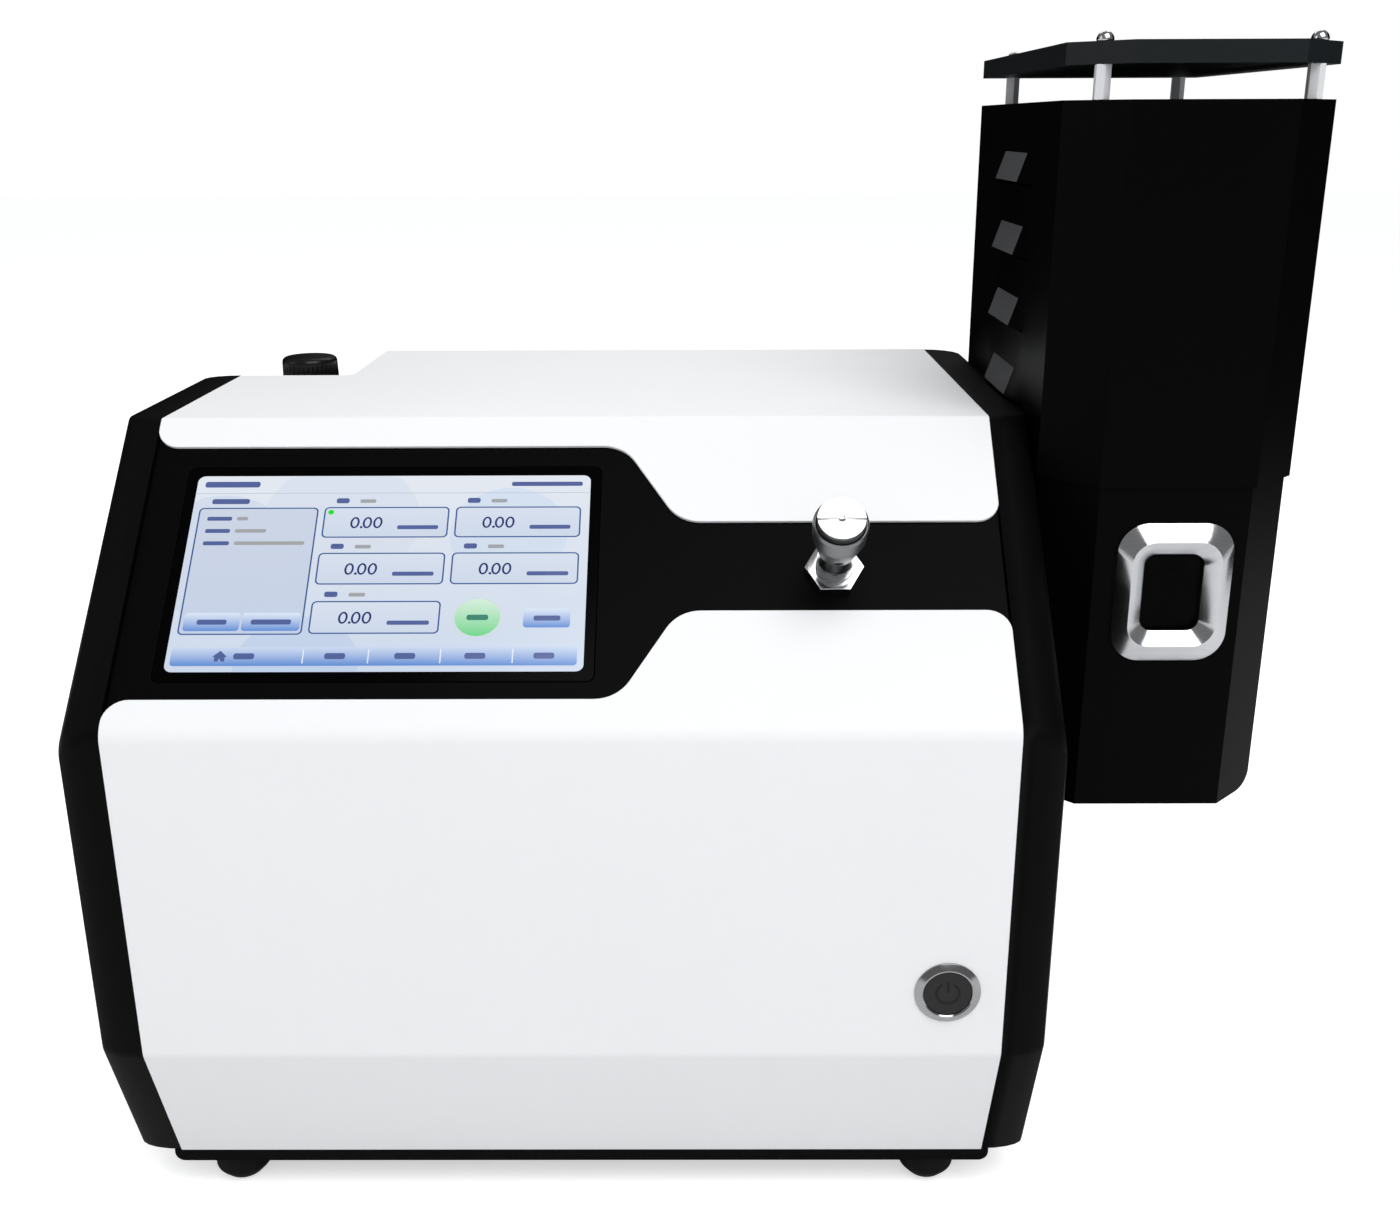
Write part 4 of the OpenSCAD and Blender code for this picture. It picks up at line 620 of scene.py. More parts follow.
@dataclass(frozen=True)
class Coat(Finish):
    """A sprayed, moulded or rubber surface: grain, slow change of shade, and dust where it looks up."""

    colour: Colour
    roughness: float = 0.5
    roughness_spread: float = 0.06
    grain_scale: float = 900.0
    grain_depth: float = 0.02
    shade_change: float = 0.04
    specular: float = 0.5
    dust: float = 0.05
    dust_colour: Colour = (0.32, 0.32, 0.31)
    clear_coat: float = 0.0

    def surface(self, board: Board, place: Socket) -> dict[str, object]:
        """Joins the grain to the shader, and the dust over it."""
        look = {"Colour": (*self.colour, 1), "Roughness": self.roughness, "Roughness Spread": self.roughness_spread}
        size = {"Grain Scale": self.grain_scale, "Shade": self.shade_change}
        grain = board.group(EFFECTS.coating, {"Vector": place, **look, **size})
        under = {"Colour": grain["Colour"], "Roughness": grain["Roughness"]}
        veil = {"Dust Colour": (*self.dust_colour, 1), "Amount": self.dust}
        dust = board.group(EFFECTS.settled_dust, {"Vector": place, **under, **veil})
        return {
            "Base Color": dust["Colour"],
            "Roughness": dust["Roughness"],
            "Normal": board.bump(grain["Height"], self.grain_depth),
            "Specular IOR Level": self.specular,
            "Coat Weight": self.clear_coat,
        }


@dataclass(frozen=True)
class Metal(Finish):
    """A machined or polished metal with fine tool lines, turned about an axis or drawn straight."""

    colour: Colour
    roughness: float = 0.18
    roughness_spread: float = 0.12
    line_scale: float = 2500.0
    line_depth: float = 0.004
    axis: Axis | None = None
    smears: float = 0.06

    def surface(self, board: Board, place: Socket) -> dict[str, object]:
        """Joins the tool lines and the smears to the shader."""
        if self.axis is not None:
            turn = Matrix(self.axis.basis().tolist()).to_euler()
            shift = {"Vector": place, "Location": tuple(-CASE.metres(self.axis.foot))}
            moved = board.node("ShaderNodeMapping", shift).outputs[0]
            place = board.node("ShaderNodeMapping", {"Vector": moved, "Rotation": tuple(turn)}).outputs[0]
        look = {"Colour": (*self.colour, 1), "Roughness": self.roughness, "Roughness Spread": self.roughness_spread}
        cut = {"Ring Share": 0.0 if self.axis is None else 1.0, "Line Scale": self.line_scale}
        lines = board.group(EFFECTS.machining, {"Vector": place, **look, **cut})
        return {
            "Base Color": lines["Colour"],
            "Roughness": board.smeared(place, lines["Roughness"], self.smears),
            "Normal": board.bump(lines["Height"], self.line_depth),
            "Metallic": 1.0,
        }


@dataclass(frozen=True)
class Glazing(Finish):
    """Clear or tinted glass with faint smears."""

    tint: Colour = (0.95, 0.98, 0.98)
    roughness: float = 0.02
    smears: float = 0.08
    specular: float = 0.5
    refraction: float = 1.5

    def surface(self, board: Board, place: Socket) -> dict[str, object]:
        """Joins the smears and a slow change of tint to the shader."""
        paler = tuple(min(1.0, c * 1.04) for c in self.tint)
        return {
            "Base Color": board.mix(board.noise(place, 30.0, 2.0), (*self.tint, 1), (*paler, 1)),
            "Roughness": board.smeared(place, self.roughness, self.smears),
            "Transmission Weight": 1.0,
            "Specular IOR Level": self.specular,
            "Specular Tint": (*grey(2 * self.specular), 1),
            "IOR": self.refraction,
        }


@dataclass(frozen=True)
class LitScreen(Finish):
    """The lit picture under the touch glass: it glows with the colours kept on its points."""

    strength: float = 0.9
    dimmed: float = 0.92

    def surface(self, board: Board, place: Socket) -> dict[str, object]:
        """Joins the picture's colours to the glow, and the smears to the gloss."""
        picture = board.node("ShaderNodeAttribute", attribute_name=ScreenPicture.COLOURS).outputs["Color"]
        return {
            "Base Color": board.mix(self.dimmed, picture, (0.0, 0.0, 0.0, 1)),
            "Roughness": board.smeared(place, 0.12, 0.12),
            "Emission Color": picture,
            "Emission Strength": self.strength,
            "Specular IOR Level": 0.3,
        }


@dataclass(frozen=True)
class CircuitBoard(Finish):
    """Green board lacquer over copper tracks, with pads and darker ground areas."""

    colour: Colour = (0.02, 0.16, 0.06)
    track: Colour = (0.05, 0.28, 0.11)
    pad: Colour = (0.75, 0.6, 0.3)

    def surface(self, board: Board, place: Socket) -> dict[str, object]:
        """Draws tracks as the edges of square cells, and pads as small discs in a few of the cells."""
        read = {"Vector": place, "Scale": 90.0, "Mortar Size": 0.035, "Brick Width": 0.6, "Row Height": 0.35}
        cells = board.node("ShaderNodeTexBrick", read).outputs["Fac"]
        dots = board.node("ShaderNodeTexVoronoi", {"Vector": place, "Scale": 260.0, "Randomness": 0.2})
        discs = board.spread(dots.outputs["Distance"], 0.16, 0.22, 1.0, 0.0)
        mask = board.times(discs, board.spread(board.noise(place, 60.0, 2.0), 0.52, 0.58, 0.0, 1.0))
        drawn = board.mix(cells, (*self.colour, 1), (*self.track, 1))
        return {
            "Base Color": board.mix(mask, drawn, (*self.pad, 1)),
            "Metallic": mask,
            "Roughness": board.spread(mask, 0.0, 1.0, 0.35, 0.25),
            "Normal": board.bump(cells, 0.05),
        }


@dataclass(frozen=True)
class Hose(Finish):
    """Soft plastic hose, half clear, with faint bands along its length."""

    colour: Colour

    def surface(self, board: Board, place: Socket) -> dict[str, object]:
        """Joins the bands to the colour and roughness."""
        look = {"Colour": (*self.colour, 1), "Grain Scale": 300.0, "Shade": 0.12, "Roughness": 0.28}
        bands = board.group(EFFECTS.coating, {"Vector": place, **look})
        clear = {"Transmission Weight": 0.35, "Subsurface Weight": 0.1}
        return {"Base Color": bands["Colour"], "Roughness": bands["Roughness"], **clear}


class Workshop:
    """The finishes of the instrument, each made at its first use."""

    white = Coat("white_satin_powder", shade(240, 241, 243), 0.45, 0.05, 700.0, 0.012, 0.012, 0.25, 0.03, grey(0.6))
    moulding = Coat(
        "black_moulding_grain", (0.0022, 0.0022, 0.0024), 0.5, 0.1, 1500.0, 0.03, 0.2, 0.045, 0.08, (0.02, 0.021, 0.022)
    )
    console = Coat(
        "black_console_coat", (0.0015, 0.0015, 0.0017), 0.42, 0.06, 1100.0, 0.012, 0.12, 0.035, 0.03, grey(0.02)
    )
    tower = Coat(
        "black_tower_powder", (0.0016, 0.0016, 0.0019), 0.38, 0.08, 800.0, 0.02, 0.15, 0.03, 0.06, (0.02, 0.021, 0.023)
    )
    cap = Coat("slate_cap_powder", (0.009, 0.0115, 0.013), 0.42, 0.08, 800.0, 0.02, 0.2, 0.2, 0.06, (0.04, 0.045, 0.05))
    # louvre: a painted highlight, the grey of the louvres' lit sloping faces
    louvre = Coat("louvre_highlight_paint", (0.075, 0.076, 0.08), 0.45, 0.08, 800.0, 0.02, 0.2, 0.2, 0.05, grey(0.1))
    base = Coat("black_base_powder", (0.002, 0.002, 0.0022), 0.5, 0.08, 800.0, 0.02, 0.15, 0.05, 0.05, grey(0.02))
    rubber = Coat("black_foot_rubber", grey(0.003), 0.7, 0.1, 600.0, 0.05, 0.3, 0.15, 0.15, grey(0.03))
    plastic = Coat(
        "black_satin_plastic", (0.003, 0.003, 0.0033), 0.32, 0.08, 1600.0, 0.012, 0.2, 0.3, 0.05, grey(0.03)
    )
    glass_border = Coat(
        "black_touch_glass", (0.001, 0.001, 0.0012), 0.14, 0.03, 400.0, 0.0005, 0.2, 0.025, 0.02, grey(0.02)
    )
    symbol = Coat("black_symbol_paint", grey(0.004), 0.5, 0.05, 1500.0, 0.005, 0.2, 0.3, 0.0)
    chamber = Coat("white_chamber_plastic", shade(226, 222, 210), 0.4, 0.06, 500.0, 0.01, 0.03, 0.5, 0.02)
    ceramic = Coat(
        "white_glazed_ceramic", shade(232, 230, 222), 0.15, 0.04, 300.0, 0.002, 0.02, 0.5, 0.01, clear_coat=0.6
    )
    supply = Coat("grey_supply_sheet", shade(176, 178, 180), 0.35, 0.1, 900.0, 0.01, 0.05, 0.5, 0.04)
    spacer = Coat(
        "bright_spacer_plating", shade(222, 223, 226), 0.3, 0.08, 1800.0, 0.006, 0.06, 0.8, 0.04, grey(0.5)
    )
    zinc = Metal("cast_zinc_body", (0.42, 0.43, 0.44), 0.42, 0.15, 500.0, 0.02)
    screw = Metal("zinc_plated_steel", (0.5, 0.51, 0.52), 0.26, 0.12)
    brass = Metal("turned_brass", (0.72, 0.53, 0.24), 0.24, 0.12)
    spring = Metal("spring_steel_wire", (0.42, 0.43, 0.45), 0.22, 0.1)
    module = Metal("display_module_sheet", (0.55, 0.56, 0.57), 0.3, 0.12)
    bezel = Metal("polished_window_bezel", (0.66, 0.67, 0.69), 0.13, 0.08, 1500.0)
    dome = Metal("chromed_dome_nut", (0.68, 0.69, 0.71), 0.08, 0.05)
    circuit = CircuitBoard("green_circuit_board")
    yellow_hose = Hose("yellow_gas_hose", (0.62, 0.42, 0.06))
    blue_hose = Hose("blue_air_hose", (0.12, 0.34, 0.62))
    clear_glass = Glazing("clear_flame_glass")
    window_glass = Glazing("inspection_glass", (0.012, 0.013, 0.015), 0.02, 0.02, 0.03)
    lens_glass = Glazing("lens_glass", (0.93, 0.97, 1.0), 0.0, 0.02)
    filter_glass = Glazing("orange_filter_glass", (0.9, 0.35, 0.05), 0.01, 0.03)
    lit_screen = LitScreen("lit_screen_picture")


def dress(obj: bpy.types.Object, finish: Finish) -> None:
    """Gives a piece its finish."""
    obj.data.materials.clear()
    obj.data.materials.append(finish.material())


# ---------------------------------------------------------------- sub-assemblies


@dataclass
class SubAssembly:
    """A part of the instrument that builds and dresses its own pieces."""

    made: list[str] = field(default_factory=list, init=False)

    def keep(self, obj: bpy.types.Object, finish: Finish, slot: Slot, body: str = "case") -> bpy.types.Object:
        """Dresses a new piece, gives it its body, and notes its name.

        Args:
            obj: the piece.
            finish: its finish.
            slot: the record's material slot; not used.
            body: the CAD body that it rides on.

        Returns:
            The same piece.
        """
        dress(obj, finish)
        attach(obj, body)
        self.made.append(obj.name)
        return obj

    def eased(
        self, node: str, finish: Finish, slot: Slot, width: float = 0.35, body: str = "case", merged: bool = True
    ) -> None:
        """Stands an eased copy in for a CAD node and dresses it."""
        self.keep(Stock.eased(node, width, merged), finish, slot, body)

    def formed(
        self,
        node: str,
        grids: Grids,
        finish: Finish,
        slot: Slot,
        body: str = "case",
        form: str = "form",
        **shape: object,
    ) -> bpy.types.Object:
        """Stands closed surfaces in for a CAD node and dresses them.

        Args:
            node: the CAD node's name.
            grids: the surfaces, each with its axis.
            finish: the finish.
            slot: the record's material slot.
            body: the CAD body that the piece rides on.
            form: the last word of the piece's name.
            shape: what else Stock.closed takes.

        Returns:
            The new piece.
        """
        obj = Stock.closed(f"{node}_{form}", grids, **shape)
        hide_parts(node)
        return self.keep(obj, finish, slot, body)

    def dressed(self, finish: Finish, *nodes: str) -> None:
        """Dresses CAD nodes that stay in view."""
        for node in nodes:
            dress(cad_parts[node], finish)
            self.made.append(node)

    def build(self) -> None:
        """Builds and dresses the sub-assembly's pieces."""
        raise NotImplementedError


@dataclass
class CaseShell(SubAssembly):
    """The folded white covers, the black console and side panels, the base, the rear and the feet."""

    foot_d: float = 23.0
    foot_h: float = 14.5
    foot_x: float = 145.0
    foot_rows: tuple[float, float] = (38.0, 248.0)
    base_t: float = 5.5
    hole_r: float = 2.3
    recess_d: float = 7.6
    recess_h: float = 4.0

    def build(self) -> None:
        """Eases the sheet edges and turns the feet."""
        for node in ("upper_cover", "lower_cover"):
            self.eased(node, Workshop.white, Slot.WHITE, 0.3)
        self.eased("console_panel", Workshop.console, Slot.CONSOLE, 0.25)
        for node in ("left_side_panel", "right_side_panel"):
            self.eased(node, Workshop.moulding, Slot.MOULDING, 0.8)
        for node, width in (("base_plate", 0.5), ("rear_panel", 0.3), ("regulator_deck", 0.3)):
            self.eased(node, Workshop.base, Slot.BLACK_COAT, width)
        self.dressed(Workshop.screw, "foot_screws")
        self.eased("case_screws", Workshop.screw, Slot.SCREW, 0.2)
        self.feet()

    def feet(self) -> None:
        """Turns the four feet from one profile: a recess for the screw, a round tread, a bulging wall and a lip."""
        r, h, inner = self.foot_d / 2, self.foot_h, self.recess_d / 2
        hole = [(self.hole_r, h), (self.hole_r, self.recess_h)]
        corners = [*hole, (inner, self.recess_h), (inner, 0), (r - 4.5, 0), (r, 5), (r, h)]
        grid = turned(rounded(corners, [0, 0, 0.6, 1.2, 3, 4, 0.8]), 72)
        bottom = -self.base_t - h
        grids = [(grid, Axis((x, y, bottom))) for x in (-self.foot_x, self.foot_x) for y in self.foot_rows]
        self.formed("feet", grids, Workshop.rubber, Slot.RUBBER, ends=False)


@dataclass
class ScreenPicture:
    """The picture on the seven-inch screen, drawn in the display's own 800 by 480 units.

    Each mark is a flat patch just above the one before it, and keeps its colour on its points.
    """

    COLOURS = "picture_colour"
    width: float = 154.08
    height: float = 85.1
    units: tuple[int, int] = (800, 480)
    lift: float = 0.006
    points: list = field(default_factory=list)
    colours: list = field(default_factory=list)
    faces: list = field(default_factory=list)
    layer: int = 0

    def _local(self, outline: np.ndarray) -> np.ndarray:
        """Display units, down from the top left corner, in millimetres about the screen's middle."""
        x = (outline[:, 0] / self.units[0] - 0.5) * self.width
        y = (0.5 - outline[:, 1] / self.units[1]) * self.height
        return np.column_stack([x, y, np.full(len(x), self.layer * self.lift)])

    def _add(self, outline: np.ndarray, colours: np.ndarray, faces: list) -> None:
        """Adds points, their colours and faces between them, and starts the next layer."""
        base = sum(len(p) for p in self.points)
        self.points.append(self._local(outline))
        self.colours.append(colours)
        self.faces += [[base + i for i in face] for face in faces]
        self.layer += 1

    def patch(self, outline: np.ndarray, top: Colour, bottom: Colour | None = None) -> None:
        """A filled outline as a fan of triangles about its middle, shaded from its top to its bottom."""
        bottom = top if bottom is None else bottom
        ring = np.vstack([outline.mean(0, keepdims=True), outline])
        share = (ring[:, 1] - ring[:, 1].min()) / max(np.ptp(ring[:, 1]), 1e-6)
        tint = np.array(top) * (1 - share[:, None]) + np.array(bottom) * share[:, None]
        count = len(outline)
        self._add(ring, tint, [[0, 1 + i, 1 + (i + 1) % count] for i in range(count)])

    def band(self, outer: np.ndarray, inner: np.ndarray, colour: Colour) -> None:
        """A line of even width as the strip between two outlines with the same number of points."""
        count = len(outer)
        faces = [[i, (i + 1) % count, count + (i + 1) % count, count + i] for i in range(count)]
        self._add(np.vstack([outer, inner]), np.tile(colour, (2 * count, 1)), faces)

    def box(self, x0: float, y0: float, x1: float, y1: float, r: float) -> np.ndarray:
        """The outline of a box with round corners between two corners in display units."""
        return rounded_box(x1 - x0, y1 - y0, r, 5) + np.array([(x0 + x1) / 2, (y0 + y1) / 2])

    def disc(self, x: float, y: float, rx: float, ry: float | None = None) -> np.ndarray:
        """The outline of an ellipse: x + rx cos a, y + ry sin a."""
        a = np.linspace(0, 2 * math.pi, 40, endpoint=False)
        return np.column_stack([x + rx * np.cos(a), y + (rx if ry is None else ry) * np.sin(a)])

    def block(self, x0: float, y0: float, x1: float, y1: float, r: float, *tints: Colour) -> None:
        """A filled box with round corners between two corners, in one colour or from one to another."""
        self.patch(self.box(x0, y0, x1, y1, r), *tints)

    def framed(self, x0: float, y0: float, x1: float, y1: float, line: Colour, fill: tuple[Colour, Colour]) -> None:
        """A filled box with a line round it."""
        outer = self.box(x0, y0, x1, y1, 10)
        self.patch(outer, *fill)
        self.band(outer, self.box(x0 + 3, y0 + 3, x1 - 3, y1 - 3, 7.5), line)

    def reading(self, x: float, y: float, size: float, colour: Colour) -> None:
        """The reading 0.00: three upright rings and a point, leaning as the display's digits do."""
        rx, ry, stroke = size * 0.34, size * 0.53, size * 0.15
        lean = np.array([[1.0, 0.0], [-0.06, 1.0]])
        for shift in (-0.84, 0.085, 0.86):
            middle = np.array([x + shift * size, y])
            outer = self.disc(0, 0, rx, ry) @ lean + middle
            inner = self.disc(0, 0, rx - stroke, ry - stroke) @ lean + middle
            self.band(outer, inner, colour)
        self.patch(self.disc(x - size * 0.34, y + ry - stroke * 0.7, stroke * 0.7), colour)

    def bar(self, x: float, y: float, w: float, h: float, colour: Colour) -> None:
        """A short plain bar in the place of a word."""
        self.block(x, y - h / 2, x + w, y + h / 2, h * 0.35, colour)

    def draw(self) -> None:
        """Draws the background, the boxes with their readings, the buttons and the lower bar."""
        ink, line, faint = shade(84, 100, 156), shade(56, 90, 150), shade(164, 167, 170)
        box_fill = (shade(216, 225, 239), shade(206, 217, 235))
        button = (shade(222, 233, 248), shade(96, 143, 216))
        self.block(0, 0, 800, 480, 15, shade(229, 234, 242), shade(206, 218, 236))
        circles = (
            (60, 200, 150, (212, 222, 238), (208, 218, 234)), (300, 120, 160, (219, 227, 240), (215, 223, 236)),
            (640, 150, 118, (214, 226, 242), (210, 222, 238)), (250, 470, 120, (200, 214, 236), (193, 210, 235)),
        )
        for x, y, r, top, bottom in circles:
            self.patch(np.clip(self.disc(x, y, r), [1, 1], [799, 479]), shade(*top), shade(*bottom))
        self.block(2, 44, 798, 46, 0.9, shade(196, 205, 220))
        for x, y, w, h in ((16, 22, 112, 15), (640, 22, 144, 11), (36, 66, 76, 13)):
            self.bar(x, y, w, h, ink)
        self.framed(13, 82, 254, 394, line, (shade(205, 214, 230), shade(198, 210, 231)))
        for y, first, second in ((110, 50, 22), (141, 50, 62), (172, 52, 140)):
            self.bar(32, y, first, 10, ink)
            self.bar(42 + first, y, second, 9, faint)
        for x0, x1, w in ((22, 131, 58), (135, 248, 78)):
            self.block(x0, 342, x1, 385, 7, *button)
            self.bar((x0 + x1 - w) / 2, 364, w, 12, ink)
        for x0, y0 in ((266, 81), (531, 81), (266, 197), (531, 197), (266, 315)):
            self.framed(x0, y0, x0 + 252, y0 + 78, line, box_fill)
            self.reading(x0 + 87, y0 + 40, 27, shade(34, 52, 112))
            self.bar(x0 + 150, y0 + 52, 82, 10, ink)
            self.bar(x0 + 22, y0 - 16, 26, 13, ink)
            self.bar(x0 + 70, y0 - 15, 32, 9, faint)
        self.patch(self.disc(280, 95, 6), shade(28, 226, 40))
        self.band(self.disc(591, 355, 47), self.disc(591, 355, 44), shade(208, 226, 224))
        self.patch(self.disc(591, 355, 44), shade(214, 240, 222), shade(112, 214, 140))
        self.bar(570, 355, 42, 13, shade(62, 134, 112))
        self.block(680, 334, 771, 379, 7, *button)
        self.bar(700, 357, 52, 12, ink)
        self.block(10, 424, 787, 467, 7, shade(206, 220, 243), shade(92, 140, 213))
        for x in (263, 388, 526, 664):
            self.block(x - 1.2, 429, x + 1.2, 462, 1, shade(232, 239, 250))
        for x in (130, 304, 438, 572, 704):
            self.bar(x, 445, 40, 14, ink)
        x = np.array([104, 118, 114, 114, 107, 107, 101, 101, 94, 94, 90.0])
        y = np.array([432, 446, 446, 457, 457, 449, 449, 457, 457, 446, 446.0])
        self.patch(np.column_stack([x, y]), ink)

    def piece(self, axis: Axis) -> bpy.types.Object:
        """The picture as one object that lies on the given axis.

        Args:
            axis: the middle of the screen, with Z out of it.

        Returns:
            The new object with its colours on its points.
        """
        self.draw()
        obj = Stock.plain("screen_picture", CASE.metres(axis.place(np.concatenate(self.points))), self.faces)
        mesh, tint = obj.data, np.concatenate(self.colours)
        kept = mesh.attributes.new(self.COLOURS, "FLOAT_COLOR", "POINT")
        kept.data.foreach_set("color", np.column_stack([tint, np.ones(len(tint))]).astype(np.float32).ravel())
        out = Vector(axis.along)
        for face in mesh.polygons:
            if face.normal.dot(out) < 0:
                face.flip()
        mesh.update()
        return obj


@dataclass
class TouchScreen(SubAssembly):
    """The touch glass with its lit picture, and the display's parts behind it."""

    centre_x: float = -69.75
    centre_s: float = 67.9
    glass_n: float = -1.6
    above: float = 0.03

    def build(self) -> None:
        """Lays the picture on the glass and dresses what is behind it."""
        self.eased("display_glass", Workshop.glass_border, Slot.TOUCH_GLASS, 0.25)
        picture = ScreenPicture().piece(CONSOLE.axis(self.centre_x, self.centre_s, self.glass_n + self.above))
        self.keep(picture, Workshop.lit_screen, Slot.TOUCH_GLASS)
        self.dressed(Workshop.module, "display_module", "display_bracket")
        self.dressed(Workshop.circuit, "display_board")


@dataclass
class FuelValve(SubAssembly):
    """The polished fuel valve: knob, grub screw, panel nut, body and needle."""

    x: float = 100.7
    s: float = 66.7
    foot: float = 9.6
    top: float = 38.0
    foot_r: float = 6.0
    largest_r: float = 9.9
    waist_up: float = 6.0
    swell: float = 12.0
    rim: float = 3.0
    chamfer: float = 0.7
    line_w: float = 0.7
    line_deep: float = 0.25
    mark_r: float = 1.1
    grub_r: float = 1.5
    grub_up: float = 8.0
    stem_r: float = 2.5
    stem_foot: float = -15.6

    def finish(self, name: str, roughness: float, tone: float = 0.66) -> Metal:
        """Steel turned about the valve's axis, which stands on the cover's plane."""
        tint = (tone, tone * 1.01, tone * 1.03)
        return Metal(name, tint, roughness, 0.07, 3000.0, 0.003, CONSOLE.axis(self.x, self.s), 0.04)

    def build(self) -> None:
        """Turns the knob, eases the nut and dresses the rest."""
        place = CONSOLE.axis(self.x, self.s, self.foot)
        polished = self.finish("polished_valve_knob", 0.2)
        grids = [(self.knob(), place)]
        knob = self.formed("fuel_valve_knob", grids, polished, Slot.POLISHED, "fuel_knob", sharp=40)
        # Painted shade: the flank below the lid takes a darker copy of the lid's steel.
        self.paint_flank_shade(knob)
        self.dressed(Workshop.screw, "knob_grub_screw", "fuel_valve_needle")
        self.eased("fuel_valve_nut", self.finish("polished_valve_nut", 0.14), Slot.POLISHED, 0.25)
        self.eased("fuel_valve_body", self.finish("plated_valve_body", 0.2), Slot.BRASS, 0.25)

    def paint_flank_shade(self, knob: bpy.types.Object) -> None:
        """Paints shade on the knob: all faces below its lid take a darker, duller copy of the turned steel."""
        knob.data.materials.append(self.finish("valve_flank_painted_shade", 0.36, 0.24).material())
        centres = np.empty(len(knob.data.polygons) * 3)
        knob.data.polygons.foreach_get("center", centres)
        axis = CONSOLE.axis(self.x, self.s)
        up = (centres.reshape(-1, 3) - CASE.metres(axis.foot)) @ np.array(axis.along) / MM
        knob.data.polygons.foreach_set("material_index", (up < self.top - 0.5).astype(np.int32))

    def knob(self) -> np.ndarray:
        """Turns the knob.

        Its profile goes round the axis. On the top face the height falls in a thin line across the middle and in a
        small centre mark. Round the grub screw the radius falls to the screw's end.

        Returns:
            The knob's grid, from its foot up.
        """
        h, r = self.top - self.foot, self.largest_r
        corners = [
            (self.foot_r, 0), (self.foot_r + 1, self.waist_up), (r, h - self.swell), (r, h - self.rim),
            (r - self.chamfer, h),
        ]
        flank = rounded(corners, [0.6, 2, 2, 1.2, 0.8], 8)
        lid_r = np.concatenate([np.linspace(flank[-1, 0], 0.4, 40), [0.0]])
        stem_foot = self.stem_foot - self.foot
        stem = np.array([(0, stem_foot), (self.stem_r, stem_foot), (self.stem_r, 0)])
        lid = np.column_stack([lid_r, np.full(len(lid_r), h)])
        grid = turned(np.concatenate([stem, densified(flank, 0.35), lid]), 160)
        radius = np.hypot(grid[..., 0], grid[..., 1])
        on_lid = (grid[..., 2] > h - 1e-6) & (radius < r - 1.2)
        cut = np.exp(-((grid[..., 1] / (self.line_w / 2)) ** 4))
        mark = np.exp(-((radius / self.mark_r) ** 6))
        grid[..., 2] -= np.where(on_lid, self.line_deep * np.maximum(cut, mark), 0.0)
        on_flank = (grid[..., 1] < 0) & (grid[..., 2] > 1)
        apart = np.hypot(grid[..., 0], grid[..., 2] - self.grub_up)
        near_grub = on_flank & (apart < self.grub_r + 0.25)
        sunk = np.where(near_grub, (self.foot_r - 0.15) / np.maximum(radius, 1e-6), 1.0)
        grid[..., :2] *= np.minimum(sunk, 1.0)[..., None]
        return grid


